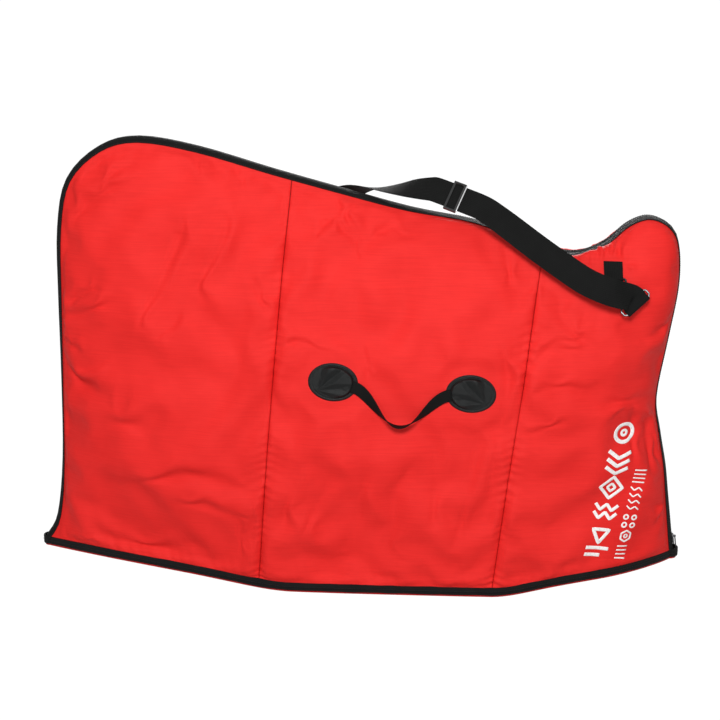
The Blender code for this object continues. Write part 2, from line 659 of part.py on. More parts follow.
def cloth(x, z, height, side):
    """A point `height` above the outer face, and the outward direction there."""
    x, z = np.broadcast_arrays(np.asarray(x, float), np.asarray(z, float))
    middle_x, middle_z = x.copy(), z.copy()
    for _ in range(PLACE_TRIES):
        seen = side_point(middle_x, middle_z)
        middle_x, middle_z = middle_x + x - seen[..., 0], middle_z + z - seen[..., 2]
    outward = side_normal(middle_x, middle_z)
    point = side_point(middle_x, middle_z) + outward * np.asarray(height)[..., None]
    return mirrored(point, side), mirrored(outward, side)


def frame_at(across, along, outward, place):
    frame = Matrix((Vector(across), Vector(along), Vector(outward))).transposed().to_4x4()
    frame.translation = Vector(place)
    return frame


def seat(x, z, side):
    """A frame on the cloth: X across, Y down the cloth and Z outward."""
    point, outward = cloth(x, z, 0.0, side)
    down = unit(np.array((0, 0, -1.0)) + outward * outward[2])
    return frame_at(np.cross(down, outward), down, outward, point)


def in_frame(frame, points):
    """World points from rows of across, along and outward."""
    return np.array([frame @ Vector(point) for point in points])


def arc(middle, radius, start, end, count):
    """Points (along, outward) on an arc, its angles in degrees from the along direction."""
    angles = np.radians(np.linspace(start, end, count))
    return np.stack((middle[0] + radius * np.cos(angles), middle[1] + radius * np.sin(angles)), -1)


# Handle patches: leather ovals, each with a raised fold that the handle comes out of
PATCH_LENGTH = 0.092
PATCH_HEIGHT = 0.070
PATCH_THICKNESS = 0.0022
PATCH_PLACE_SHARES = {"left": (-0.0367, 0.4955), "right": (0.1693, 0.4755)}
PATCH_RING_SHARES = (0.3, 0.7, 1.0)
PATCH_POINTS_ROUND = 24
FOLD_FROM_SHARE = -0.6
FOLD_TO = 0.033
FOLD_WIDTH = 0.027
FOLD_HEIGHT = 0.0078
FOLD_DROP = 0.005
FOLD_RING_SHARES = ((0.0, 0.30, 0.30), (0.35, 0.62, 0.45), (0.7, 0.9, 0.8), (1.0, 1.0, 1.0))
FOLD_SECTION_SHARES = ((-1.0, 0.0), (-0.86, 0.72), (-0.45, 1.0), (0.45, 1.0), (0.86, 0.72), (1.0, 0.0))

patch_middles = {end: np.multiply(shares, (LENGTH, HEIGHT)) for end, shares in PATCH_PLACE_SHARES.items()}
handle_run = unit(patch_middles["right"] - patch_middles["left"])
handle_down = np.array((handle_run[1], -handle_run[0]))


def handle_patch(name, middle, towards, side, carrier):
    def at(along, down, height):
        x, z = np.moveaxis(middle + np.multiply.outer(along, towards) + np.multiply.outer(down, handle_down), -1, 0)
        return cloth(x, z, height, side)[0]

    angles = np.arange(PATCH_POINTS_ROUND) * 2 * math.pi / PATCH_POINTS_ROUND
    levels = ([(share, CLEARANCE) for share in PATCH_RING_SHARES]
              + [(share, CLEARANCE + PATCH_THICKNESS) for share in reversed(PATCH_RING_SHARES)])
    rings = [at(PATCH_LENGTH / 2 * share * np.cos(angles), PATCH_HEIGHT / 2 * share * np.sin(angles),
                np.full(PATCH_POINTS_ROUND, level)) for share, level in levels]
    patch = add_piece(name, skin(rings), PATCH, FLAP_HINGE if carrier else (0, 0, 0), carrier)
    low = CLEARANCE + PATCH_THICKNESS / 2
    fold_from = FOLD_FROM_SHARE * PATCH_LENGTH / 2
    fold = []
    for reach, width, height in FOLD_RING_SHARES:
        across, up = np.array(FOLD_SECTION_SHARES).T
        fold.append(at(np.full(len(across), fold_from + (FOLD_TO - fold_from) * reach),
                       FOLD_DROP * reach + across * width * FOLD_WIDTH / 2,
                       low + up * (height * FOLD_HEIGHT - low)))
    combine(patch, skin(fold), Matrix.Identity(4), "UNION")


# Handles: webbing that leaves the folds flat, hangs down and turns on edge at the bottom
HANDLE_WIDTH = 0.022
HANDLE_THICKNESS = 0.0022
HANDLE_SAG = 0.064
HANDLE_STAND = 0.0150
HANDLE_STATIONS = 21
HANDLE_END_GAP = 0.0004

handle_stand_at_ends = CLEARANCE * 2 + PATCH_THICKNESS + HANDLE_THICKNESS / 2
handle_start = patch_middles["left"] + handle_run * (FOLD_TO + HANDLE_END_GAP)
handle_end = patch_middles["right"] - handle_run * (FOLD_TO + HANDLE_END_GAP)


def handle(name, side, carrier):
    part_way = np.linspace(0, 1, HANDLE_STATIONS)
    hang = np.sin(math.pi * part_way) ** 2
    middle = FOLD_DROP + HANDLE_SAG * hang
    place = handle_start + np.multiply.outer(part_way, handle_end - handle_start) + np.multiply.outer(middle, handle_down)
    turn = math.pi / 2 * hang
    stand = handle_stand_at_ends + (HANDLE_STAND - handle_stand_at_ends) * np.sin(turn)
    centres, outward = cloth(place[:, 0], place[:, 1], stand, side)
    run = directions(centres)
    run[0] = run[-1] = unit(centres[-1] - centres[0])
    flat = unit(np.cross(outward, run)) * -side
    out = unit(outward - run * (outward * run).sum(-1)[:, None])
    widths = np.cos(turn)[:, None] * flat + np.sin(turn)[:, None] * out
    hinge = (centres[0] + flat[0] * HANDLE_WIDTH / 2 + centres[-1] + flat[-1] * HANDLE_WIDTH / 2) / 2
    mesh = ribbon(centres, widths, np.cross(widths, run), HANDLE_WIDTH, HANDLE_THICKNESS)
    add_piece(name, mesh, WEBBING, hinge, carrier, smooth=True)
    return hinge, run[0]


handle_hinges = {}
for label, (side, carrier) in SIDES.items():
    for end, towards in (("left", handle_run), ("right", -handle_run)):
        handle_patch(f"{label}_handle_patch_{end}", patch_middles[end], towards, side, carrier)
    handle_hinges[label] = handle(f"{label}_handle", side, carrier)


# Strap ends: a D-ring in a webbing tab, and a snap hook whose wide eye the strap is looped through
TAB_PLACE_SHARES = {"front": (0.3766, 0.7170), "back": (-0.363, 0.7335)}
RING_TUBE = 0.0020
RING_RADIUS = 0.022
RING_NECK = 0.004
RING_STAND = 0.0046
RING_TILT_DEGREES = 13.5
RING_TAB_WIDTH = 0.034
RING_TAB_LENGTH = 0.028
RING_TAB_PLAY = 0.0006
RING_TAB_LIFT = 0.0020
RING_TAB_LEG_SHARES = (1.0, 0.6, 0.25)
STRAP_THICKNESS = 0.0016
HOOK_TURN_DEGREES = {"front": 45, "back": 58}
CROOK_TUBE = 0.0023
CROOK_PLAY = 0.0025
CROOK_NOSE_DEGREES = 64
HOOK_BARREL_FROM = 0.0142
HOOK_BARREL_LENGTH = 0.0098
HOOK_BARREL_RADIUS = 0.0055
HOOK_NECK_RADIUS = 0.0036
HOOK_BORE_RADIUS = 0.0024
HOOK_BORE_DEPTH = 0.0076
GATE_PIVOT = (0.0124, 0.0059)
GATE_TIP = (0.0041, 0.0066)
GATE_THICKNESS = 0.0026
GATE_WIDTH = 0.0048
GATE_PLAY = 0.0006
EYE_TUBE = 0.0020
EYE_TOP = 0.0266
EYE_BOTTOM = 0.0425
STRAP_WIDTH = 0.050
EYE_PLAY = 0.0025
EYE_POST_FROM = 0.0170


def ring_tab(name, x, z, side, frame, carrier):
    """Webbing folded round the ring's straight bar, its two legs sewn flat on the cloth above."""
    loop = RING_TUBE + RING_TAB_PLAY + STRAP_THICKNESS / 2
    low = RING_TAB_LIFT + STRAP_THICKNESS / 2
    high = low + STRAP_THICKNESS + CLEARANCE
    legs = np.array(RING_TAB_LEG_SHARES) * RING_TAB_LENGTH
    bend = arc((0, RING_STAND), loop, -90, 90, 9)
    under = cloth(x, z + legs, low, side)
    over = cloth(x, z + legs[::-1], high, side)
    centres = np.concatenate((under[0], in_frame(frame, [(0, *point) for point in bend]), over[0]))
    widths = np.tile(-np.array(frame.col[0][:3]), (len(centres), 1))
    through = np.cross(widths, directions(centres))
    add_piece(name, ribbon(centres, widths, through, RING_TAB_WIDTH, STRAP_THICKNESS), WEBBING,
              FLAP_HINGE if carrier else (0, 0, 0), carrier)


def d_ring(name, frame, carrier):
    """A wire D: straight bar in the tab, two short legs and a half round."""
    tilt = Matrix.Rotation(math.radians(RING_TILT_DEGREES), 4, "X")
    ring_frame = frame @ Matrix.Translation((0, 0, RING_STAND)) @ tilt
    half = arc((RING_NECK, 0), RING_RADIUS, 90, -90, 15)
    points = [(across, along, 0) for along, across in half]
    corner = RING_TUBE
    points += [(-RING_RADIUS, corner, 0), (-RING_RADIUS + corner, 0, 0),
               (0, 0, 0), (RING_RADIUS - corner, 0, 0), (RING_RADIUS, corner, 0)]
    path = in_frame(ring_frame, points)
    mesh = tube(path, ring_frame.col[2][:3], RING_TUBE, RING_TUBE, looped=True)
    add_piece(name, mesh, STEEL, ring_frame.translation, carrier)
    return ring_frame


def snap_hook(name, frame, carrier):
    """Crook round the ring, a spine behind it and a barrel with a blind bore for the eye's post."""
    radius = RING_TUBE + CROOK_PLAY + CROOK_TUBE
    crook = arc((0, 0), radius, CROOK_NOSE_DEGREES, 270, 15)
    spine_end = HOOK_BARREL_FROM - HOOK_BARREL_RADIUS
    shank = [(spine_end * share, -radius) for share in (0.35, 0.7)]
    neck = [(HOOK_BARREL_FROM - CROOK_TUBE, -radius / 3), (HOOK_BARREL_FROM + CROOK_TUBE, 0)]
    path = in_frame(frame, [(0, *point) for point in (*crook, *shank, *neck)])
    taper = np.full(len(path), CROOK_TUBE)
    taper[-2:] = HOOK_NECK_RADIUS
    hook = add_piece(name, tube(path, frame.col[0][:3], taper, taper), STEEL, frame.translation, carrier)
    barrel_end = HOOK_BARREL_FROM + HOOK_BARREL_LENGTH
    combine(hook, rod((0, HOOK_BARREL_FROM, 0), (0, barrel_end, 0), HOOK_BARREL_RADIUS), frame, "UNION")
    lug_top = GATE_PIVOT[1] - GATE_THICKNESS / 2 - GATE_PLAY
    combine(hook, block((-GATE_WIDTH / 2, HOOK_BARREL_FROM - GATE_THICKNESS / 2, 0),
                        (GATE_WIDTH / 2, HOOK_BARREL_FROM + GATE_THICKNESS, lug_top)), frame, "UNION")
    combine(hook, rod((0, barrel_end - HOOK_BORE_DEPTH, 0), (0, barrel_end + HOOK_BORE_DEPTH, 0),
                      HOOK_BORE_RADIUS), frame, "DIFFERENCE")


def spring_gate(name, frame, carrier):
    """A flat bar from its pivot to just short of the crook's nose."""
    pivot, tip = np.array((0, *GATE_PIVOT)), np.array((0, *GATE_TIP))
    along = unit(tip - pivot)
    length = np.linalg.norm(tip - pivot)
    gate_frame = frame @ frame_at((1, 0, 0), along, np.cross((1, 0, 0), along), pivot)
    mesh = block((-GATE_WIDTH / 2, -GATE_THICKNESS / 2, -GATE_THICKNESS / 2),
                 (GATE_WIDTH / 2, length, GATE_THICKNESS / 2))
    mesh.transform(gate_frame)
    gate = add_piece(name, mesh, STEEL, gate_frame.translation, carrier, smooth=False)
    soften(gate, GATE_THICKNESS / 4)


def hook_eye(name, frame, carrier):
    """A closed wire loop for the strap, with a post that turns in the hook's barrel."""
    leg = STRAP_WIDTH / 2 + EYE_PLAY + EYE_TUBE
    corner = EYE_TUBE * 2
    corners = [(1, EYE_TOP, 1), (1, EYE_BOTTOM, -1), (-1, EYE_BOTTOM, -1), (-1, EYE_TOP, 1)]
    points = []
    for across, along, inward in corners:
        bend = [(across * (leg - corner), along, 0), (across * leg, along + inward * corner, 0)]
        points += bend if across * inward > 0 else reversed(bend)
    mesh = tube(in_frame(frame, points), frame.col[2][:3], EYE_TUBE, EYE_TUBE, looped=True)
    eye = add_piece(name, mesh, STEEL, FLAP_HINGE if carrier else (0, 0, 0), carrier)
    combine(eye, rod((0, EYE_POST_FROM, 0), (0, EYE_TOP, 0), EYE_TUBE, 12), frame, "UNION")


hook_frames, ring_frames = {}, {}
for label, (side, carrier) in SIDES.items():
    x, z = np.multiply(TAB_PLACE_SHARES[label], (LENGTH, HEIGHT))
    frame = seat(x, z, side)
    ring_tab(f"{label}_ring_tab", x, z, side, frame, carrier)
    ring_frame = d_ring(f"{label}_ring", frame, carrier)
    turn = Matrix.Rotation(math.radians(HOOK_TURN_DEGREES[label]), 4, "Z")
    hook_place = ring_frame @ Matrix.Translation((0, RING_NECK, 0)) @ turn @ Vector((0, RING_RADIUS, 0))
    hook_frame = Matrix.Translation(hook_place) @ (frame.to_3x3() @ turn.to_3x3()).to_4x4()
    snap_hook(f"{label}_hook", hook_frame, carrier)
    spring_gate(f"{label}_gate", hook_frame, carrier)
    hook_eye(f"{label}_hook_eye", hook_frame, carrier)
    hook_frames[label], ring_frames[label] = hook_frame, ring_frame


# Shoulder strap: one line of webbing from the front eye over the top to the back eye, as three nodes;
# the rows hold x, y and z as shares of the bag, and how far the face leans back, in right angles
STRAP_FRONT_SHARES = (
    (0.3715, -0.4350, 0.7000, 0.20), (0.3398, -0.4000, 0.7165, 0.23), (0.3180, -0.3610, 0.7330, 0.26),
    (0.2669, -0.2900, 0.7802, 0.30), (0.2190, -0.2330, 0.8290, 0.36), (0.1840, -0.1930, 0.8627, 0.40))
STRAP_ARCH_SHARES = (
    (0.1103, -0.1286, 0.8991, 0.40), (0.0740, -0.0500, 0.8960, 0.62), (0.0403, 0.0429, 0.8900, 0.92),
    (0.0061, 0.1286, 0.8850, 1.22), (-0.0193, 0.1700, 0.8740, 1.46), (-0.0580, 0.1780, 0.8540, 1.65))
STRAP_BACK_SHARES = (
    (-0.1103, 0.1800, 0.8404, 1.74), (-0.1700, 0.2060, 0.8286, 1.77), (-0.2300, 0.2360, 0.8122, 1.80),
    (-0.2900, 0.2640, 0.7840, 1.84), (-0.3420, 0.2980, 0.7420, 1.88))
STRAP_OVER_SHARES = ((0.47, 0.75), (1.06, 1.0))
STRAP_STRAIGHT_SHARES = (0.08, 0.92, 1.0)
STRAP_BEND = 0.0032
STRAP_TAIL = 0.009
STRAP_OVER_HEIGHT = 0.0110
STRAP_STATIONS = 18
STRAP_GAP = 0.0006


def route(rows):
    rows = np.asarray(rows)
    return rows * (LENGTH, DEPTH, HEIGHT, 1)


def hook_end(frame):
    """The sewn tail and the turn round the eye's lower bar, and the start back over the hook.

    Each row is a place and how far the webbing's face leans there.
    """
    bend = arc((EYE_BOTTOM, 0), STRAP_BEND, -90, 90, 11)
    tail = [(EYE_BOTTOM - STRAP_TAIL, STRAP_THICKNESS / 4), (EYE_BOTTOM - STRAP_TAIL / 2, -STRAP_BEND / 2)]
    over = [(EYE_BOTTOM - STRAP_TAIL, STRAP_BEND + CLEARANCE)]
    over += [(EYE_BOTTOM - EYE_BOTTOM * back, STRAP_OVER_HEIGHT * up) for back, up in STRAP_OVER_SHARES]
    outward = frame.col[2]
    lean = math.atan2(outward[2], -outward[1]) / (math.pi / 2)
    rows = [in_frame(frame, [(0, *point) for point in points]) for points in ((*tail, *bend), over)]
    return [np.column_stack((places, np.full(len(places), lean))) for places in rows]


front_loops, front_over = hook_end(hook_frames["front"])
back_loops, back_over = hook_end(hook_frames["back"])
front_rows, arch_rows, back_rows = map(route, (STRAP_FRONT_SHARES, STRAP_ARCH_SHARES, STRAP_BACK_SHARES))
climb = curve(np.vstack((front_over[:2], front_rows)), STRAP_STATIONS)
straight_rows = front_rows[-1] + np.multiply.outer(STRAP_STRAIGHT_SHARES, arch_rows[0] - front_rows[-1])
arch_line = curve(arch_rows, STRAP_STATIONS)
fall = curve(np.vstack((arch_rows[-1], back_rows, back_over[::-1])), STRAP_STATIONS)
strap_line = np.vstack((front_loops, climb, straight_rows, arch_line[1:], fall[1:], back_loops[::-1]))
strap_run = directions(strap_line[:, :3])
strap_lean = strap_line[:, 3] * math.pi / 2
strap_face = np.stack((np.zeros_like(strap_lean), -np.cos(strap_lean), np.sin(strap_lean)), -1)
strap_widths = unit(np.cross(strap_run, strap_face))
strap_widths[:len(front_loops) + 1] = -np.array(hook_frames["front"].col[0][:3])
strap_widths[-len(back_loops) - 1:] = np.array(hook_frames["back"].col[0][:3])


def strap(name, first, last, carrier):
    """The webbing between two stations, cut back by half a gap where another node carries on."""
    kept = slice(first, last + 1)
    centres, run, widths = strap_line[kept, :3].copy(), strap_run[kept], strap_widths[kept]
    if first:
        centres[0] += run[0] * STRAP_GAP / 2
    if last < len(strap_line) - 1:
        centres[-1] -= run[-1] * STRAP_GAP / 2
    mesh = ribbon(centres, widths, np.cross(widths, run), STRAP_WIDTH, STRAP_THICKNESS)
    add_piece(name, mesh, WEBBING, FLAP_HINGE if carrier else (0, 0, 0), carrier)


arch_from = len(front_loops) + len(climb) + len(straight_rows) - 1
arch_to = arch_from + len(arch_line) - 1
strap("strap_front", 0, arch_from, flap)
strap("strap_bridge", arch_from, arch_to, None)
strap("strap_back", arch_to, len(strap_line) - 1, None)


# Strap adjuster: a flat frame with one bar behind the webbing and one in front at each end
ADJUSTER_LENGTH = 0.024
ADJUSTER_WIDTH = 0.058
ADJUSTER_THICKNESS = 0.0072
ADJUSTER_END_BAR = 0.0040
ADJUSTER_MIDDLE_BAR = 0.0060
ADJUSTER_SIDE_PLAY = 0.0008
ADJUSTER_FACE_PLAY = 0.0005
ADJUSTER_PLACE_SHARE = 0.58
ADJUSTER_ROUNDING = 0.0008

straight_from = arch_from - len(straight_rows) + 1
along, adjuster_across = strap_run[straight_from], strap_widths[straight_from]
adjuster_out = np.cross(adjuster_across, along)
adjuster_place = front_rows[-1, :3] + (arch_rows[0] - front_rows[-1])[:3] * ADJUSTER_PLACE_SHARE
adjuster_frame = frame_at(adjuster_across, along, adjuster_out, adjuster_place)
half = np.array((ADJUSTER_WIDTH, ADJUSTER_LENGTH, ADJUSTER_THICKNESS)) / 2
adjuster_mesh = block(-half, half)
adjuster_mesh.transform(adjuster_frame)
adjuster = add_piece("strap_adjuster", adjuster_mesh, PLASTIC, adjuster_place, flap, smooth=False)
soften(adjuster, ADJUSTER_ROUNDING)
passage = STRAP_WIDTH / 2 + ADJUSTER_SIDE_PLAY
gap = STRAP_THICKNESS / 2 + ADJUSTER_FACE_PLAY
window = ADJUSTER_LENGTH / 2 - ADJUSTER_END_BAR
combine(adjuster, block((-passage, -ADJUSTER_LENGTH, -gap), (passage, ADJUSTER_LENGTH, gap)),
        adjuster_frame, "DIFFERENCE")
combine(adjuster, block((-passage, -window, -gap / 2), (passage, window, ADJUSTER_THICKNESS)),
        adjuster_frame, "DIFFERENCE")
for end in (-1, 1):
    reach = sorted((end * ADJUSTER_MIDDLE_BAR / 2, end * ADJUSTER_LENGTH))
    combine(adjuster, block((-passage, reach[0], -ADJUSTER_THICKNESS), (passage, reach[1], gap / 2)),
            adjuster_frame, "DIFFERENCE")
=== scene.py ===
"""Soft travel bag for a road bike: its looks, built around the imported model.

X runs along the bag, -Y is the side that carries the front handle and +Z is up; units are metres.
"""
import math

import bpy
import numpy as np
from mathutils import Matrix


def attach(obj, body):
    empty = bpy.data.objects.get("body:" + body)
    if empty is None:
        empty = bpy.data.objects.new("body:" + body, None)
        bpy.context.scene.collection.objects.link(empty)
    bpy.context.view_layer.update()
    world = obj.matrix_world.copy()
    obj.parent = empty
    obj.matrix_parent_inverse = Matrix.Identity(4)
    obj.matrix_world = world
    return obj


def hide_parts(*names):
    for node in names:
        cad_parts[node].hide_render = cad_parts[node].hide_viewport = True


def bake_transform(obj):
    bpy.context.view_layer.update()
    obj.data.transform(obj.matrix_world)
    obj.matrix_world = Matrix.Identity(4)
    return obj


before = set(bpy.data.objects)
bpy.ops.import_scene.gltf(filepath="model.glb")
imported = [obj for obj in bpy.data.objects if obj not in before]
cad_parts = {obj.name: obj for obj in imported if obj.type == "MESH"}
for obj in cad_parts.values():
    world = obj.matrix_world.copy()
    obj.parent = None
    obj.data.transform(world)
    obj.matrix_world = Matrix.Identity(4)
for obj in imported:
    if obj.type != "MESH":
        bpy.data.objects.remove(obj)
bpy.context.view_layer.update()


# The two sides are padded red nylon: thin foam between cloth and lining, cut as three panels that are
# sewn edge to edge at two upright seams, into the zip tape above and into the black binding below.
# The bag is full, so the cloth bulges between its sewn edges, with folds where it is slack.
LENGTH = 1.224
HEIGHT = 0.852
DEPTH = 0.280
PADDING = 0.010
ZIP_SHARES = (
    (-0.507, 0.073), (-0.487, 0.128), (-0.474, 0.266), (-0.469, 0.459), (-0.467, 0.647),
    (-0.463, 0.800), (-0.445, 0.908), (-0.395, 0.977), (-0.335, 0.999), (-0.245, 0.978),
    (-0.131, 0.930), (-0.025, 0.888), (0.074, 0.850), (0.172, 0.821), (0.261, 0.771),
    (0.323, 0.750), (0.370, 0.775), (0.402, 0.818), (0.437, 0.835), (0.472, 0.799),
    (0.479, 0.703), (0.467, 0.573), (0.455, 0.438), (0.4641, 0.3521), (0.4747, 0.2758),
    (0.4810, 0.2083), (0.4873, 0.1408), (0.4936, 0.0733))
ZIP_STEPS = 4
FULLNESS_SHARES = ((0.86, 0.88, 0.89, 0.89, 0.88), (0.93, 0.99, 1.00, 1.00, 0.96),
                   (0.70, 0.74, 0.84, 0.92, 0.88), (0.45, 0.50, 0.55, 0.60, 0.56))
EDGE_ROLL_SHARES = ((0.33, 0.33, 0.26, 0.17, 0.17), (0.17, 0.20, 0.20, 0.16, 0.10),
                    (0.14, 0.17, 0.17, 0.13, 0.08), (0.12, 0.16, 0.16, 0.10, 0.07))
OVERHANG_SHARES = ((0.0, 0.0, 0.0, 0.0, 0.0), (0.13, 0.0, 0.0, 0.0, 0.10),
                   (0.02, 0.0, 0.0, 0.20, 0.12), (0.0, 0.0, 0.10, 0.24, 0.0))
ROLL_POWER = 0.8
OVERHANG_PEAK = 0.4
EDGE_THICKNESS = 0.003
EDGE_DEPTH = 0.0095
FLAT_FROM, FLAT_TO = -0.10 * LENGTH, 0.205 * LENGTH
END_RISE = 0.042
RISE_BEND = 0.14
BINDING_HEIGHT = 0.014
BINDING_DROP = 0.005
PANEL_FOOT = BINDING_DROP + BINDING_HEIGHT + 0.0008
PANEL_GAP = 0.0008
LEFT_SEAM = (-0.155 * LENGTH, -0.103 * LENGTH)
RIGHT_SEAM = (0.208 * LENGTH, 0.268 * LENGTH)
TOP_LEFT_STEP, TOP_RIGHT_STEP = 6.4 * ZIP_STEPS, 18.6 * ZIP_STEPS
PANEL_ROWS, PANEL_COLUMNS = 260, {"left": 150, "middle": 146, "right": 124}
SLACK_ROWS, SLACK_COLUMNS = 106, {"left": 60, "middle": 58, "right": 50}
EDGE_CROWDING = 0.3
FULL_RELIEF_FROM, RELIEF_FROM = 0.023, 0.0095
FACING = {"front": -1, "back": 1}
BODIES = {"front": "front_flap", "back": "shell"}


def carry(piece, body):
    """Parent a soft piece to its body; a piece of the front flap stays unparented, its placement baked into
    its points.
    """
    if body == "front_flap":
        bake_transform(piece)
    else:
        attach(piece, body)


def along_path(path):
    """The way from the first point to each point of a path."""
    return np.concatenate(((0,), np.cumsum(np.linalg.norm(np.diff(path, axis=0), axis=1))))


def read_off(line, reach, at):
    """Each column of a line, read off at given ways along it."""
    return np.stack([np.interp(at, reach, column) for column in line.T], -1)


def respaced(path, spacing):
    """The same path with even points: each coordinate read off at even lengths."""
    reach = along_path(path)
    return read_off(path, reach, np.linspace(0, reach[-1], max(2, int(round(reach[-1] / spacing)) + 1)))


def curve_weights(place, count):
    """Weights of a smooth curve through `count` even values: the Catmull-Rom polynomials of the cell."""
    at = np.clip(np.asarray(place, float), 0, 1) * (count - 1)
    cell = np.minimum(at.astype(int), count - 2)
    f = (at - cell)[..., None]
    bases = (-f + 2 * f**2 - f**3, 2 - 5 * f**2 + 3 * f**3, f + 4 * f**2 - 3 * f**3, f**3 - f**2)
    weights = 0
    for step, basis in enumerate(bases, -1):
        weights = weights + basis / 2 * (np.arange(count) == np.clip(cell + step, 0, count - 1)[..., None])
    return weights


def curve(points, samples):
    """Samples of the smooth curve through the points, even in its parameter."""
    points = np.asarray(points, float)
    return curve_weights(np.linspace(0, 1, samples), len(points)) @ points


def field(shares, x, z):
    """A table of shares over the side, smooth along its rows and columns: rows times table times columns."""
    table = np.asarray(shares)
    columns = curve_weights(x / LENGTH + 0.5, table.shape[1])
    rows = curve_weights(z / HEIGHT, table.shape[0])
    return (rows @ table * columns).sum(-1)


ZIP_LINE = curve(np.multiply(ZIP_SHARES, (LENGTH, HEIGHT)), (len(ZIP_SHARES) - 1) * ZIP_STEPS + 1)


def zip_distance(x, z):
    """Smooth distance to the zip line: its integral of 1/d^4 to the power -1/3, equal to d at a straight."""
    start = ZIP_LINE[:-1]
    run = np.linalg.norm(np.diff(ZIP_LINE, axis=0), axis=1)
    along = np.diff(ZIP_LINE, axis=0) / run[:, None]
    to_point = np.stack((x, z), -1)[..., None, :] - start
    low = -(to_point * along).sum(-1)
    beside = np.maximum((to_point**2).sum(-1) - low**2, (EDGE_THICKNESS / 6) ** 2)

    def integral(end):
        return end / (2 * beside * (beside + end**2)) + np.arctan(end / beside**0.5) / (2 * beside**1.5)

    return (2 / math.pi * (integral(low + run) - integral(low)).sum(-1)) ** (-1 / 3)


def towards_zip(x, z):
    """Minus the slope of the distance to the zip."""
    step = EDGE_THICKNESS / 3
    dx = zip_distance(x + step, z) - zip_distance(x - step, z)
    dz = zip_distance(x, z + step) - zip_distance(x, z - step)
    return -np.stack((dx, dz), -1) / (2 * step)


def rolled(t):
    """0 at the zip and 1 inside: t over the cube root of 1 + t^3, to a power."""
    return (t / (1 + t**3) ** (1 / 3)) ** ROLL_POWER


def side_point(x, z):
    """Outer face over a place in the middle plane: depth grows with the roll, and the edge leans out."""
    x, z = np.broadcast_arrays(np.asarray(x, float), np.asarray(z, float))
    t = zip_distance(x, z) / (field(EDGE_ROLL_SHARES, x, z) * LENGTH)
    lean = t / OVERHANG_PEAK * np.exp(1 - t / OVERHANG_PEAK)
    bulge = (field(OVERHANG_SHARES, x, z) * DEPTH / 2 * lean)[..., None] * towards_zip(x, z)
    depth = EDGE_DEPTH + (field(FULLNESS_SHARES, x, z) * DEPTH / 2 - EDGE_DEPTH) * rolled(t)
    return np.stack((x + bulge[..., 0], -depth, z + bulge[..., 1]), -1)


def unit(vectors):
    return vectors / np.linalg.norm(vectors, axis=-1, keepdims=True)


def side_normal(x, z):
    """Outward direction of the side: the cross product of its two slopes."""
    x, z = np.broadcast_arrays(np.asarray(x, float), np.asarray(z, float))
    step = EDGE_THICKNESS / 3
    across = side_point(x + step, z) - side_point(x - step, z)
    return unit(np.cross(across, side_point(x, z + step) - side_point(x, z - step)))


def base_rise(x):
    """Height of the underside: nought over the flat, then an upturn that levels off at each end."""
    ends = ZIP_LINE[0, 0], ZIP_LINE[-1, 0]
    left, right = (x - FLAT_FROM) / (ends[0] - FLAT_FROM), (x - FLAT_TO) / (ends[1] - FLAT_TO)
    t = np.clip(np.maximum(left, right), 0, 1)
    return END_RISE * (1 + RISE_BEND) * t**2 / (t**2 + RISE_BEND)


def seam_line(seam, shift, fractions):
    """A seam in the middle plane, from the base to the zip line; also the zip step that it ends at."""
    foot = np.array((seam[0] + shift, base_rise(seam[0] + shift) + PANEL_FOOT))
    top_x = seam[1] + shift
    crossing = np.nonzero(np.diff(np.sign(ZIP_LINE[:, 0] - top_x)) > 0)[0][0]
    before, after = ZIP_LINE[crossing], ZIP_LINE[crossing + 1]
    part = (top_x - before[0]) / (after[0] - before[0])
    return foot + (before + (after - before) * part - foot) * fractions[:, None], crossing + part


def zip_stretch(start, end, fractions):
    """Points of the zip line between two of its steps, at shares of the length between them."""
    order = np.arange(len(ZIP_LINE))
    inner = (order > start) & (order < end)
    tips = [[np.interp(at, order, ZIP_LINE[:, k]) for k in (0, 1)] for at in (start, end)]
    line = np.vstack((tips[0], ZIP_LINE[inner], tips[1]))
    reach = along_path(line)
    return read_off(line, reach, fractions * reach[-1])


def foot_line(start, end, fractions):
    x = start + (end - start) * fractions
    return np.stack((x, base_rise(x) + PANEL_FOOT), -1)


def crowded(count):
    """Shares from 0 to 1, closer at both ends: t minus a sine of one turn."""
    t = np.linspace(0, 1, count)
    return t - EDGE_CROWDING * np.sin(2 * math.pi * t) / (2 * math.pi)


def fill_patch(bottom, top, left, right, across, upward):
    """A grid between four edge lines: both ruled surfaces less the one through the corners."""
    u, v = across[None, :, None], upward[:, None, None]
    ruled = (1 - v) * bottom + v * top + (1 - u) * left[:, None] + u * right[:, None]
    return ruled - ((1 - u) * (1 - v) * bottom[0] + u * (1 - v) * bottom[-1]
                    + (1 - u) * v * top[0] + u * v * top[-1])


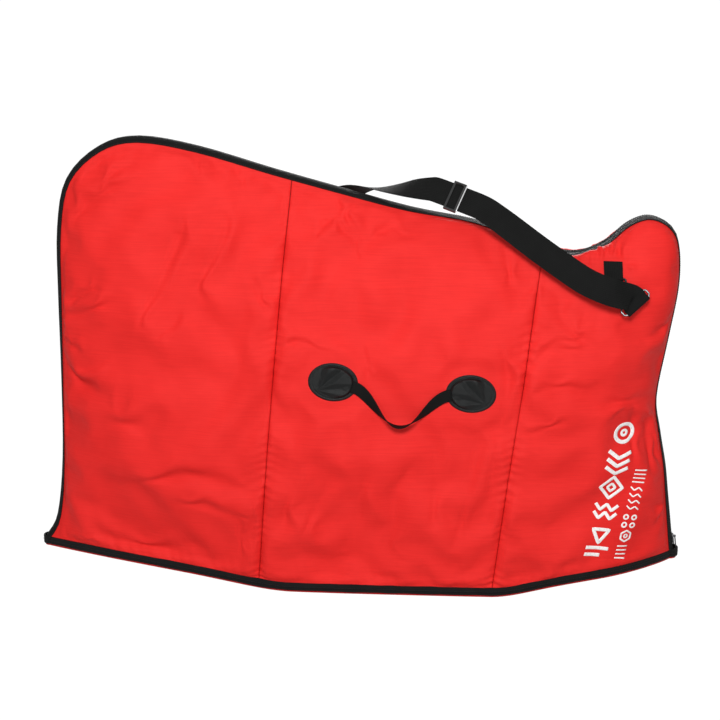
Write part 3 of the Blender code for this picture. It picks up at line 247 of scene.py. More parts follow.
def side_patches(count, columns):
    """Grids in the middle plane, rows from the foot up, for the three panels of a side."""
    gap = PANEL_GAP / 2
    up = crowded(count)
    left_seam, left_step = seam_line(LEFT_SEAM, -gap, up)
    middle_left, middle_start = seam_line(LEFT_SEAM, gap, up)
    middle_right, middle_end = seam_line(RIGHT_SEAM, -gap, up)
    right_seam, right_step = seam_line(RIGHT_SEAM, gap, up)
    across = {part: crowded(wide) for part, wide in columns.items()}
    outlines = {
        "left": ((ZIP_LINE[0, 0], left_seam[0, 0]), (TOP_LEFT_STEP, left_step),
                 zip_stretch(0, TOP_LEFT_STEP, up), left_seam),
        "middle": ((middle_left[0, 0], middle_right[0, 0]), (middle_start, middle_end),
                   middle_left, middle_right),
        "right": ((right_seam[0, 0], ZIP_LINE[-1, 0]), (right_step, TOP_RIGHT_STEP),
                  right_seam, zip_stretch(TOP_RIGHT_STEP, len(ZIP_LINE) - 1, 1 - up))}
    return {part: fill_patch(foot_line(*foot, across[part]), zip_stretch(*top, across[part]), left, right,
                             across[part], up) for part, (foot, top, left, right) in outlines.items()}


def grid_normals(points):
    """Outward directions of a grid of points, from its own two slopes."""
    return unit(np.cross(np.gradient(points, axis=1), np.gradient(points, axis=0)))


# folds of the front as seen from the front, in millimetres along and up, then width and depth
MM = 1e-3
FOLDS = (
    (((-321, 722), (-317, 687), (-329, 662), (-367, 598), (-400, 533), (-403, 506)), 11, 3.4),
    (((-264, 722), (-244, 699), (-249, 663), (-278, 613), (-294, 582), (-270, 552)), 9, 2.6),
    (((-321, 549), (-347, 519), (-374, 490)), 9, 2.0),
    (((-565, 528), (-524, 557), (-480, 584)), 9, 3.0),
    (((-562, 509), (-508, 535), (-444, 561)), 11, 3.6),
    (((-569, 470), (-545, 462), (-510, 449)), 9, 2.4),
    (((-490, 758), (-450, 786), (-410, 811)), 8, 1.8),
    (((-492, 738), (-448, 764), (-400, 788)), 9, 2.0),
    (((-544, 695), (-498, 727), (-450, 745)), 16, 2.4),
    (((-311, 832), (-303, 807), (-290, 785)), 8, 2.2),
    (((-286, 828), (-269, 807), (-250, 792)), 8, 2.4),
    (((-236, 818), (-221, 794), (-214, 764)), 9, 2.2),
    (((-566, 452), (-540, 411), (-505, 376), (-462, 350)), 20, 6.0),
    (((-512, 350), (-452, 330), (-380, 345), (-320, 370)), 26, 4.0),
    (((-600, 105), (-591, 128), (-575, 150)), 8, 2.0),
    (((-470, 200), (-374, 224), (-286, 227), (-205, 214)), 16, 3.2),
    (((-350, 180), (-275, 171), (-204, 156)), 13, 2.6),
    (((-548, 82), (-519, 66), (-480, 60)), 6, 1.8),
    (((-530, 102), (-443, 78), (-320, 66)), 14, 3.2),
    (((-195, 618), (-180, 568), (-146, 532)), 10, 2.4),
    (((-229, 158), (-223, 117), (-219, 66)), 7, 1.6),
    (((-201, 196), (-195, 139), (-199, 85)), 7, 1.4),
    (((-46, 716), (-64, 694), (-82, 680)), 10, 3.4),
    (((-44, 716), (-29, 694), (-11, 673), (-2, 636)), 7, 2.6),
    (((8, 742), (-17, 730), (-24, 714), (-1, 685), (24, 664)), 8, 3.0),
    (((18, 664), (35, 690), (59, 697), (82, 676)), 9, 2.4),
    (((-60, 766), (-41, 733), (-33, 712)), 9, 2.2),
    (((-142, 486), (-119, 496), (-89, 488), (-38, 470)), 7, 2.6),
    (((11, 492), (17, 454), (19, 422)), 5, 1.6),
    (((-100, 275), (-131, 194), (-156, 104)), 15, 2.2),
    (((-38, 282), (-74, 185), (-113, 88)), 16, 2.4),
    (((34, 292), (1, 187), (-41, 82)), 18, 2.4),
    (((100, 275), (72, 179), (50, 85)), 17, 2.2),
    (((156, 335), (142, 200), (125, 80)), 17, 2.0),
    (((216, 350), (205, 221), (187, 80)), 15, 1.8),
    (((258, 330), (253, 221), (239, 110)), 12, 1.3),
    (((256, 505), (270, 432), (266, 345)), 12, 2.4),
    (((254, 683), (271, 638), (281, 590)), 11, 2.4),
    (((310, 478), (352, 498), (410, 503)), 8, 2.0),
    (((308, 458), (357, 484), (420, 490)), 9, 2.2),
    (((304, 330), (343, 342), (390, 353)), 8, 2.0),
    (((306, 400), (368, 418), (432, 414)), 10, 1.8),
    (((528, 360), (541, 298), (556, 225)), 9, 3.6),
    (((508, 380), (507, 325), (518, 250)), 10, 3.4),
    (((548, 340), (561, 273), (578, 205)), 8, 3.0),
    (((553, 374), (501, 381), (430, 397)), 14, 3.4),
    (((428, 664), (432, 637), (438, 600)), 6, 4.6),
    (((444, 668), (448, 626), (443, 590)), 6, 4.8),
    (((462, 680), (459, 639), (468, 612)), 6, 4.6),
    (((474, 680), (476, 640), (492, 616)), 6, 4.2),
    (((408, 656), (417, 637), (420, 600)), 6, 4.2),
    (((388, 654), (398, 630), (410, 600)), 7, 3.6),
    (((584, 528), (551, 514), (505, 507)), 12, 2.6),
    (((592, 160), (563, 165), (520, 180)), 10, 2.4),
    (((360, 552), (393, 514), (446, 492)), 12, 2.4))
BACK_SHIFT = (14, -9)
FOLD_SAMPLES = 18
FOLD_STRENGTH = 1.6 * MM
FOLD_PHASE = 1e3
RIDGE = 0.85
RIDGE_OFF, VALLEY_WIDTH = 1.2, 0.7
FOLD_SWELL, FOLD_FINE_SWELL, FOLD_WANDER = (0.35, 8.5), (0.2, 19), (0.4, 6)
FOLD_FADE, FOLD_FADE_SWELL = 0.8, (0.3, 11)
# places under the patches and the ring where the cloth stays smooth, and the lines that the strap rests on
SMOOTH_PLACES = ((-0.045, 0.422, 0.050), (0.207, 0.405, 0.050), (0.461, 0.623, 0.0235), (0.472, 0.592, 0.026))
SMOOTH_FROM, SMOOTH_TO = 0.95, 1.5
REST_LINES = {
    "front": ((0.470, 0.590), (0.416, 0.612), (0.389, 0.627), (0.327, 0.667), (0.268, 0.708), (0.215, 0.745)),
    "back": ((-0.135, 0.716), (-0.208, 0.706), (-0.281, 0.692), (-0.355, 0.668), (-0.430, 0.625))}
REST_FROM, REST_TO, REST_HOLD = 0.026, 0.055, 0.85
SHOULDER_X, SHOULDER_WIDTH, SHOULDER_OFF, SHOULDER_REACH, SHOULDER_LIFT = 0.432, 0.036, 0.027, 0.015, 0.013
SHOULDER_FROM, SHOULDER_TO, SHOULDER_WAY = 0.002, 0.014, (0, -0.35, 1)
# height, spacing and shift of the random draw of the soft waves that the whole cloth has
BILLOWS = ((0.0034, 0.26, 0), (0.0017, 0.085, 5))
BILLOW_WAVES, BILLOW_SPREAD = 16, (0.7, 1.6)
# the random draws start from one number for each side, shifted for each use
SIDE_SEEDS = {"front": 3, "back": 57}
SEAM_SEED, FOOT_SEED, ZIP_SEED, LOOSE_SEED = 11, 17, 23, 31
FOOT_EASE, SEAM_EASE = (0.0, 0.022), (-0.004, 0.016)
# seams: puckers, higher near two heights, in a dip beside a low roll; each hill is height, middle and width
SEAM_PUCKER, SEAM_PUCKERS = 0.0012, (0.017, 0.017)
SEAM_PUCKER_HILLS = ((0.0010, 0.17, 0.07), (0.0008, 0.47, 0.05))
SEAM_DIP, SEAM_DIP_REACH, SEAM_ROLL = 0.0042, 0.0045, (0.0012, 0.018, 0.012)
FOOT_ROLL, FOOT_PUCKER, FOOT_PUCKERS, FOOT_EDGE = (0.0012, 0.012, 0.008), 0.0011, (0.021, 0.018), (0.0, 0.006)
ZIP_GATHER, ZIP_GATHERS, ZIP_EDGE, ZIP_FOOT = 0.0014, (0.028, 0.024), (0.009, 0.018), (0.0, 0.02)
UPRIGHT_FROM = 0.45 * LENGTH
PUCKER_SLANT, PUCKER_DRIFT, PUCKER_DRIFT_SPACING, PUCKER_SWELL_SPACING = 0.35, 1.6, 4, 6
PUCKER_LEVEL, PUCKER_SWELL = 0.6, 0.4


def wave(share, turns, t, phase):
    return share * np.sin(turns * t + phase)


def hill(value, height, middle, width):
    return height * np.exp(-((value - middle) / width) ** 2)


def way_off(at, line):
    """For each place and each piece of a line: the way along it as a share, and the gap to it."""
    start, run = line[:-1], np.diff(line, axis=0)
    to_point = at[..., None, :] - start
    along = np.clip((to_point * run).sum(-1) / (run**2).sum(-1), 0, 1)
    gap = to_point - along[..., None] * run
    return along, gap, np.linalg.norm(gap, axis=-1)


def fold_relief(at, line, width, depth):
    """A valley along a line with a softer ridge on its left, both fading out towards its ends."""
    line = curve(np.multiply(line, MM), FOLD_SAMPLES)
    reach = 4 * width
    relief = np.zeros(at.shape[:-1])
    near = ((at > line.min(0) - reach) & (at < line.max(0) + reach)).all(-1)
    run = np.diff(line, axis=0)
    along, gap, distance = way_off(at[near], line)
    nearest = distance.argmin(-1)
    pick = np.arange(len(nearest)), nearest
    left = np.sign(run[nearest, 0] * gap[pick][:, 1] - run[nearest, 1] * gap[pick][:, 0])
    t = (nearest + along[pick]) / len(run)
    phase = FOLD_PHASE * (line[0].sum() + line[-1, 0])
    swell = 1 + wave(*FOLD_SWELL, t, phase) + wave(*FOLD_FINE_SWELL, t, 2 * phase)
    off = left * distance[pick] / (width * swell) + wave(*FOLD_WANDER, t, 3 * phase)
    fade = np.sin(math.pi * np.clip(t, 0, 1)) * (FOLD_FADE + wave(*FOLD_FADE_SWELL, t, phase))
    profile = RIDGE * np.exp(-(off - RIDGE_OFF) ** 2) - np.exp(-(off / VALLEY_WIDTH) ** 2)
    relief[near] = depth * fade * profile
    return relief


def billows(at, spacing, seed):
    """Soft random relief, about -1 to 1: plane waves of random heading, spacing and phase added up."""
    draw = np.random.default_rng(seed)
    heading = draw.uniform(0, 2 * math.pi, BILLOW_WAVES)
    turns = 2 * math.pi / (spacing * draw.uniform(*BILLOW_SPREAD, BILLOW_WAVES))
    starts = draw.uniform(0, 2 * math.pi, BILLOW_WAVES)
    phases = at @ np.stack((np.cos(heading), np.sin(heading))) * turns + starts
    return np.sin(phases).sum(-1) / BILLOW_WAVES**0.5


def eased(value, start, end):
    """0 before start and 1 after end, smooth between: 3t^2 - 2t^3."""
    t = np.clip((value - start) / (end - start), 0, 1)
    return t * t * (3 - 2 * t)


def puckers(along, off, spacing, reach, seed):
    """Small ripples across a seam, that die away from it: a sine of the way along times a decay."""
    way = along[..., None] * (1, 0)
    drift = billows(way, spacing * PUCKER_DRIFT_SPACING, seed) * PUCKER_DRIFT
    swell = PUCKER_LEVEL + PUCKER_SWELL * billows(way, spacing * PUCKER_SWELL_SPACING, seed + 1)
    return swell * np.sin(2 * math.pi * (along + PUCKER_SLANT * off) / spacing + drift) * np.exp(-off / reach)


def held_shares(at, from_zip, label):
    """How firmly each place is held: 1 at the zip, under patches, ring and strap, and 0 far from them."""
    held = 1 - eased(from_zip, RELIEF_FROM, FULL_RELIEF_FROM)
    for middle_x, middle_z, radius in SMOOTH_PLACES:
        away = np.hypot(at[..., 0] - middle_x, at[..., 1] - middle_z)
        held = np.maximum(held, 1 - eased(away, SMOOTH_FROM * radius, SMOOTH_TO * radius))
    away = way_off(at, np.array(REST_LINES[label]))[2].min(-1)
    return np.maximum(held, REST_HOLD * (1 - eased(away, REST_FROM, REST_TO)))


def lie(grid, plain, from_zip, part, label):
    """The cloth of a panel before it settles: its plain bulge, with billows and the large folds."""
    x, z = grid[..., 0], grid[..., 1]
    at = plain[..., (0, 2)]
    seed = SIDE_SEEDS[label]
    if label == "front" and part == "right":
        across, off = (x - SHOULDER_X) / SHOULDER_WIDTH, (from_zip - SHOULDER_OFF) / SHOULDER_REACH
        lift = SHOULDER_LIFT * np.exp(-across ** 2 - off ** 2) * eased(from_zip, SHOULDER_FROM, SHOULDER_TO)
        plain = plain + lift[..., None] * SHOULDER_WAY
    outward = grid_normals(plain)
    run = np.cumsum(np.linalg.norm(np.diff(plain, axis=1, prepend=plain[:, :1]), axis=-1), axis=1)
    seams = [off for edge, off in (("left", run), ("right", run[:, -1:] - run)) if part != edge]
    above_foot = z - base_rise(x) - PANEL_FOOT
    relief = sum(height * billows(at, spacing, seed + shift) for height, spacing, shift in BILLOWS)
    for line, width, depth in FOLDS if label == "front" else FOLDS[::2]:
        place = np.array(line) + (0 if label == "front" else BACK_SHIFT)
        relief = relief + fold_relief(at, place, width * MM, depth * FOLD_STRENGTH)
    held = held_shares(at, from_zip, label)
    relief = relief * (1 - held) * eased(above_foot, *FOOT_EASE)
    for off in seams:
        relief = relief * eased(off, *SEAM_EASE)
    return plain, outward, relief, (at, from_zip, above_foot, seams, held)


def edge_relief(grid, fit, seed):
    """What sewing does to the edges: a dip and puckers at each seam, gathers at the zip and the foot."""
    at, from_zip, above_foot, seams, held = fit
    x, z = grid[..., 0], grid[..., 1]
    relief = 0
    for off in seams:
        strength = SEAM_PUCKER + hill(z, *SEAM_PUCKER_HILLS[0]) + hill(z, *SEAM_PUCKER_HILLS[1])
        relief = relief + strength * puckers(z, off, *SEAM_PUCKERS, seed + SEAM_SEED)
        relief = relief - SEAM_DIP * np.exp(-off / SEAM_DIP_REACH) + hill(off, *SEAM_ROLL)
    relief = relief + hill(above_foot, *FOOT_ROLL)
    relief = relief + FOOT_PUCKER * puckers(x, above_foot, *FOOT_PUCKERS, seed + FOOT_SEED)
    relief = relief * eased(above_foot, *FOOT_EDGE) * (1 - held)
    edge_way = np.where(np.abs(x) > UPRIGHT_FROM, z, x)
    gathers = ZIP_GATHER * puckers(edge_way, from_zip, *ZIP_GATHERS, seed + ZIP_SEED)
    return relief + gathers * eased(from_zip, *ZIP_EDGE) * eased(above_foot, *ZIP_FOOT)


def quads(rows, columns, wrap_rows=False, wrap_columns=False, shift=0):
    """Faces of a grid, as rows of four point numbers."""
    i = np.arange(rows if wrap_rows else rows - 1)[:, None]
    j = np.arange(columns if wrap_columns else columns - 1)[None]
    after, beside = (i + 1) % rows, (j + 1) % columns
    return np.stack((i * columns + j, i * columns + beside, after * columns + beside, after * columns + j),
                    -1).reshape(-1, 4) + shift


SLACK_FRAMES = 22
SLACK_SHARE = 0.020
HOLD_SHARE = 0.09
HOLD_LEVELS = 40
LOOSE_LEVEL, LOOSE_SWELL, LOOSE_SPACING, LOOSE_LEAST = 0.55, 0.45, 0.15, 0.1
FABRIC = {"quality": 5, "mass": 0.02, "air_damping": 2, "tension_stiffness": 30, "compression_stiffness": 30,
          "shear_stiffness": 8, "bending_stiffness": 12, "vertex_group_mass": "held", "pin_stiffness": 1,
          "vertex_group_shrink": "taut", "shrink_min": -SLACK_SHARE, "shrink_max": 0}


def settled(label, grids):
    """How each coarse grid moves in a short cloth simulation: slack cloth, held at its edges and seams."""
    points, weights, taut, faces, first = [], [], [], [], 0
    for part, grid in grids.items():
        plain, outward, relief, (at, from_zip, above_foot, seams, held) = lie(*grid, part, label)
        rows, columns = plain.shape[:2]
        rim = np.ones((rows, columns))
        rim[1:-1, 1:-1] = 0
        points.append((plain + outward * relief[..., None]).reshape(-1, 3))
        weights.append(np.maximum(np.maximum(rim, held), HOLD_SHARE).ravel())
        loose = LOOSE_LEVEL + LOOSE_SWELL * billows(at, LOOSE_SPACING, SIDE_SEEDS[label] + LOOSE_SEED)
        taut.append((1 - np.clip(loose, LOOSE_LEAST, 1) * (1 - held)).ravel())
        faces.append(quads(rows, columns, shift=first))
        first += rows * columns
    points, weights, taut = np.concatenate(points), np.concatenate(weights), np.concatenate(taut)
    mesh = bpy.data.meshes.new(f"{label}_slack")
    mesh.from_pydata(points.tolist(), [], np.concatenate(faces).tolist())
    made = bpy.data.objects.new(f"{label}_slack", mesh)
    bpy.context.collection.objects.link(made)
    for name, values in (("held", weights), ("taut", taut)):
        group = made.vertex_groups.new(name=name)
        levels = np.round(values * HOLD_LEVELS).astype(int)
        for level in np.unique(levels):
            group.add(np.nonzero(levels == level)[0].tolist(), level / HOLD_LEVELS, "REPLACE")
    cloth = made.modifiers.new("cloth", "CLOTH")
    cloth.point_cache.frame_end = SLACK_FRAMES
    cloth.collision_settings.use_collision = False
    cloth.settings.effector_weights.gravity = 0
    for key, value in FABRIC.items():
        setattr(cloth.settings, key, value)
    scene = bpy.context.scene
    for number in range(1, SLACK_FRAMES + 1):
        scene.frame_set(number)
    moved = np.empty(len(points) * 3)
    made.evaluated_get(bpy.context.evaluated_depsgraph_get()).data.vertices.foreach_get("co", moved)
    scene.frame_set(1)
    bpy.data.objects.remove(made)
    bpy.data.meshes.remove(mesh)
    moves, first = {}, 0
    for part, (_, plain, from_zip) in grids.items():
        count = from_zip.size
        move = (moved.reshape(-1, 3) - points)[first:first + count].reshape(plain.shape)
        move[1:-1] = (move[:-2] + 2 * move[1:-1] + move[2:]) / 4
        move[:, 1:-1] = (move[:, :-2] + 2 * move[:, 1:-1] + move[:, 2:]) / 4
        moves[part] = move
        first += count
    return moves


def finer(values, rows, columns):
    """A coarse grid of values read on a fine one, smooth along its rows and columns."""
    down = curve_weights(np.linspace(0, 1, rows), values.shape[0])
    over = curve_weights(np.linspace(0, 1, columns), values.shape[1])
    return np.moveaxis(down @ np.moveaxis(values, -1, 0) @ over.T, 0, -1)


class Wire:
    """An output of a shader node. Sums, products and powers of wires and numbers add Math nodes."""

    def __init__(self, tree, output):
        self.tree, self.output = tree, output

    def node(self, kind, settings=None, inputs=None, output=0):
        """An output of a new node: settings first, then the values or links of its inputs."""
        made = self.tree.nodes.new("ShaderNode" + kind)
        for key, value in (settings or {}).items():
            if key == "stops":
                ramp = made.color_ramp.elements
                while len(ramp) < len(value):
                    ramp.new(1)
                for stop, (place, colour) in zip(ramp, value):
                    stop.position, stop.color = place, (*colour, 1)
            else:
                setattr(made, key, value)
        for key, value in (inputs or {}).items():
            if isinstance(value, Wire):
                self.tree.links.new(value.output, made.inputs[key])
            else:
                made.inputs[key].default_value = value
        return Wire(self.tree, made.outputs[output])

    def math(self, operation, *values):
        return self.node("Math", {"operation": operation}, dict(enumerate(values)))

    def __add__(self, other):
        return self.math("ADD", self, other)

    def __sub__(self, other):
        return self.math("SUBTRACT", self, other)

    def __rsub__(self, other):
        return self.math("SUBTRACT", other, self)

    def __mul__(self, other):
        return self.math("MULTIPLY", self, other)

    def __truediv__(self, other):
        return self.math("DIVIDE", self, other)

    def __pow__(self, other):
        return self.math("POWER", self, other)

    __radd__, __rmul__ = __add__, __mul__

    def waves(self, spacing):
        """A sine of the value, from 0 to 1, one turn for each spacing."""
        return self.math("SINE", self * (2 * math.pi / spacing)) * 0.5 + 0.5

    def between(self, low, high):
        """0 below low, 1 above high, smooth between."""
        return self.node("MapRange", {"interpolation_type": "SMOOTHSTEP"}, {0: self, 1: low, 2: high})

    def colours(self, at_zero, at_one):
        """A colour between two, or between a colour and a wire."""
        ends = {key: end if isinstance(end, Wire) else (*end, 1) for key, end in ((6, at_zero), (7, at_one))}
        return self.node("Mix", {"data_type": "RGBA"}, {0: self, **ends}, 2)

    def part(self, axis):
        """One of X, Y and Z of a vector."""
        return self.node("SeparateXYZ", None, {0: self}, "XYZ".index(axis))

    def noise(self, spacing, detail=2.0, stretch=(1, 1, 1)):
        """Soft noise over places, its grain about `spacing` across, drawn out by `stretch`."""
        scaled = self.node("Mapping", None, {0: self, 3: [1 / share for share in stretch]})
        return self.node("TexNoise", None, {"Vector": scaled, "Scale": 1 / spacing, "Detail": detail})


def finish(name, **sockets):
    """A Principled material and the wire that its other nodes start from; sockets as given are even."""
    material = bpy.data.materials.new(name)
    material.use_nodes = True
    tree = material.node_tree
    shader = tree.nodes["Principled BSDF"]
    for socket, value in sockets.items():
        shader.inputs[socket.replace("_", " ")].default_value = value
    return material, Wire(tree, shader.outputs[0])


def feed(start, socket, wire):
    start.tree.links.new(wire.output, start.output.node.inputs[socket])


def relief_bump(start, height, distance, strength):
    bump = start.node("Bump", None, {"Strength": strength, "Distance": distance, "Height": height})
    feed(start, "Normal", bump)


def places(start):
    """The piece's own places, in metres."""
    return start.node("TexCoord", output=3)


def laid_out(start):
    """Places on the cloth itself: X along and Y across, in metres."""
    return start.node("UVMap", {"uv_map": "cloth"})


def plain_finish(name, colours, tone, rough, bump=None, contrast=None, **sockets):
    """Colour, roughness and relief that each follow a soft noise: tone is its spacing and detail, rough
    the least roughness with spacing, detail and gain, bump the spacing, detail, distance and strength."""
    material, start = finish(name, **sockets)
    at = places(start)
    shade = at.noise(*tone)
    feed(start, "Base Color", (shade.between(*contrast) if contrast else shade).colours(*colours))
    least, spacing, detail, gain = rough
    feed(start, "Roughness", least + at.noise(spacing, detail) * gain)
    if bump:
        relief_bump(start, at.noise(*bump[:2]), *bump[2:])
    return material


def red_nylon(name, colour, dark):
    """A plain weave of fine threads, a little darker between them, with soft streaks along the weft."""
    material, start = finish(name, Specular_IOR_Level=0.08)
    at = places(start)
    warp = (at.part("X") + at.part("Y") * 0.35).waves(0.0011)
    weft = at.part("Z").waves(0.0009)
    weave = warp * 0.4 + weft * 0.6
    streaks = at.noise(spacing=0.004, detail=2, stretch=(14, 14, 0.5))
    patches = at.noise(spacing=0.09, detail=3)
    tone = (weave * 0.25 + streaks * 0.45 + patches * 0.5).between(0.25, 0.95)
    feed(start, "Base Color", tone.colours(dark, colour))
    feed(start, "Roughness", 0.64 - patches * 0.12 - weave * 0.05)
    relief = weave + at.noise(spacing=0.0035, detail=3) * 0.9 + at.noise(spacing=0.018, detail=2) * 1.2
    relief_bump(start, relief, distance=0.0005, strength=0.35)
    return material


RED = red_nylon("red_padded_nylon", colour=(0.80, 0.028, 0.025), dark=(0.66, 0.018, 0.016))
LINING, start = finish("grey_lining", Roughness=0.62)
at = places(start)
weave = at.part("X").waves(0.0016) * at.part("Z").waves(0.0016)
shade = (weave * 0.5 + at.noise(spacing=0.05) * 0.6).between(0.1, 1.0)
feed(start, "Base Color", shade.colours((0.10, 0.10, 0.11), (0.20, 0.20, 0.21)))
relief_bump(start, weave + at.noise(spacing=0.006), distance=0.0005, strength=0.4)


def directions(path, looped=False):
    if looped:
        return unit(np.roll(path, -1, axis=0) - np.roll(path, 1, axis=0))
    return unit(np.gradient(path, axis=0))


def surface(name, points, faces, materials, uv=None, smooth=True):
    """A new object from points and faces; uv gives each point its place on the cloth."""
    mesh = bpy.data.meshes.new(name)
    mesh.from_pydata(np.asarray(points, float).reshape(-1, 3).tolist(), [], faces)
    for material in materials:
        mesh.materials.append(material)
    if uv is not None:
        corners = np.zeros(len(mesh.loops), int)
        mesh.loops.foreach_get("vertex_index", corners)
        layer = mesh.uv_layers.new(name="cloth")
        layer.data.foreach_set("uv", np.asarray(uv, float).reshape(-1, 2)[corners].ravel())
    if smooth:
        mesh.shade_smooth()
    made = bpy.data.objects.new(name, mesh)
    bpy.context.collection.objects.link(made)
    return made


def slab(name, outer, inner, materials, flip):
    """A closed sheet between two grids; the inner one takes the last material."""
    rows, columns = outer.shape[:2]
    count = rows * columns
    face = quads(rows, columns)
    number = np.arange(count).reshape(rows, columns)
    rim = np.concatenate((number[0], number[1:, -1], number[-1, -2::-1], number[-2:0:-1, 0]))
    after = np.roll(rim, -1)
    wall = np.stack((after, rim, rim + count, after + count), -1)
    faces = np.concatenate((face, face[:, ::-1] + count, wall))
    if flip:
        faces = faces[:, ::-1]
    points = np.concatenate((outer.reshape(-1, 3), inner.reshape(-1, 3)))
    made = surface(name, points, faces.tolist(), materials)
    if len(materials) > 1:
        index = np.zeros(len(faces), int)
        index[len(face):2 * len(face)] = 1
        made.data.polygons.foreach_set("material_index", index)
    return made


def with_faces(grids):
    """Each grid with its plain outer face and its distances to the zip."""
    return {part: (grid, side_point(*np.moveaxis(grid, -1, 0)), zip_distance(*np.moveaxis(grid, -1, 0)))
            for part, grid in grids.items()}


panel_grids = with_faces(side_patches(PANEL_ROWS, PANEL_COLUMNS))
slack_grids = with_faces(side_patches(SLACK_ROWS, SLACK_COLUMNS))
for label, facing in FACING.items():
    moves = settled(label, slack_grids)
    for part, (grid, plain, from_zip) in panel_grids.items():
        x, z = grid[..., 0], grid[..., 1]
        plain, outward, relief, fit = lie(grid, plain, from_zip, part, label)
        relief = relief + edge_relief(grid, fit, SIDE_SEEDS[label])
        share = rolled(from_zip / (field(EDGE_ROLL_SHARES, x, z) * LENGTH))
        thickness = EDGE_THICKNESS + (PADDING - EDGE_THICKNESS) * share
        above = np.clip(fit[2] / (3 * PADDING), 0, 1)
        level = unit(outward * np.stack((np.ones_like(above), np.ones_like(above), above), -1))
        outer = plain + outward * relief[..., None] + (finer(moves[part], *grid.shape[:2]) if moves else 0)
        inner = outer - level * thickness[..., None]
        panel = slab(f"{label}_side_{part}", outer * (1, -facing, 1), inner * (1, -facing, 1), [RED, LINING],
                     flip=facing > 0)
        carry(panel, BODIES[label])
        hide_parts(f"{label}_panel_{part}")


# A white print runs down the lower right of the front: plain shapes in screen-printed ink, an open row of
# large ones and a closer column of small ones. They lie on the cloth and follow its folds.
PRINT_TOP, PRINT_ALONG, PRINT_BESIDE = (0.497, 0.345), (-0.190, -0.982), (0.982, -0.190)
INK_STAND, INK_THICKNESS = 0.0002, 0.00035
INK_SPACING, INK_COLUMNS, INK_FROM = 0.0024, 5, -0.4

INK = plain_finish("white_ink", colours=((0.70, 0.64, 0.63), (0.88, 0.87, 0.86)), tone=(0.004, 4),
                   rough=(0.5, 0.003, 2, 0.2), bump=(0.002, 3, 0.0002, 0.4), contrast=(0.25, 0.5),
                   Specular_IOR_Level=0.3)


def round_shape(middle, radius, sides):
    """The corners of an even shape about a place, its first one repeated at the end."""
    angles = np.arange(sides + 1) * 2 * math.pi / sides
    return np.array(middle) + radius * np.stack((np.cos(angles), np.sin(angles)), -1)


def along_print(first, step, count, shape):
    """The same shape again and again down the print."""
    return [np.array(shape) + (first + step * number, 0) for number in range(count)]


# each shape is a line in millimetres, down the print and across it, with the width of its stroke
INK_SHAPES = [(round_shape((24, 0), 17, 48), 7.0), (round_shape((24, 0), 5, 32), 5.0)]
INK_SHAPES += [(line, 7.0) for line in along_print(58, 15, 3, ((0, -22), (13, 0), (0, 22)))]
INK_SHAPES += [(round_shape((130, 0), 22, 4), 6.0), (round_shape((130, 0), 8, 4), 5.0)]
INK_SHAPES += [(((164, -22), (176, -11), (164, 0), (176, 11), (164, 22)), 6.0),
               (((180, -22), (192, -11), (180, 0), (192, 11), (180, 22)), 6.0)]
INK_SHAPES += [(round_shape((222, 0), 18, 3), 6.5),
               (((250, -22), (250, 22)), 7.0), (((264, -22), (264, 8)), 7.0)]
INK_SHAPES += [(line, 2.6) for line in along_print(92, 8, 4, ((0, 38), (0, 62)))]
INK_SHAPES += [(line, 2.6) for line in along_print(126, 12, 4, ((0, 38), (6, 46), (0, 54), (6, 62)))]
INK_SHAPES += [(round_shape((184 + 16 * row, 42 + 16 * place), 4.4, 20), 3.2)
               for row in (0, 1) for place in (0, 1)]
INK_SHAPES += [(round_shape((222, 50), 11, 6), 3.4), (round_shape((222, 50), 3.4, 16), 3.0)]
INK_SHAPES += [(line, 2.6) for line in along_print(242, 8, 4, ((0, 38), (0, 58)))]


def printed(shapes):
    """Strokes laid flat before the panel: each line's even points, moved across it by parts of its width."""
    points, faces, first = [], [], 0
    for line, width in shapes:
        line = respaced(np.array(line, float) * MM, INK_SPACING)
        closed = np.allclose(line[0], line[-1])
        line = line[:-1] if closed else line
        run = directions(line, closed)
        beside = np.stack((-run[:, 1], run[:, 0]), -1)
        across = np.linspace(-0.5, 0.5, INK_COLUMNS)[None, :, None]
        spread = line[:, None] + beside[:, None] * across * width * MM
        place = np.array(PRINT_TOP) + spread[..., :1] * PRINT_ALONG + spread[..., 1:] * PRINT_BESIDE
        before = np.full(place.shape[:2], INK_FROM)
        points.append(np.stack((place[..., 0], before, place[..., 1]), -1).reshape(-1, 3))
        faces.append(quads(len(line), INK_COLUMNS, wrap_rows=closed, shift=first))
        first += len(points[-1])
    return np.concatenate(points), np.concatenate(faces).tolist()


flat_ink = surface("flat_ink", *printed(INK_SHAPES), [INK])
laid = flat_ink.modifiers.new("laid", "SHRINKWRAP")
laid.wrap_method, laid.wrap_mode = "PROJECT", "ABOVE_SURFACE"
laid.target, laid.offset = bpy.data.objects["front_side_right"], INK_STAND
laid.use_project_y = laid.use_positive_direction = True
laid.use_negative_direction = False
thick = flat_ink.modifiers.new("thick", "SOLIDIFY")
thick.thickness, thick.offset = INK_THICKNESS, 1
ready = flat_ink.evaluated_get(bpy.context.evaluated_depsgraph_get())
ink = bpy.data.objects.new("front_print", bpy.data.meshes.new_from_object(ready))
bpy.context.collection.objects.link(ink)
bpy.data.objects.remove(flat_ink)
carry(ink, BODIES["front"])


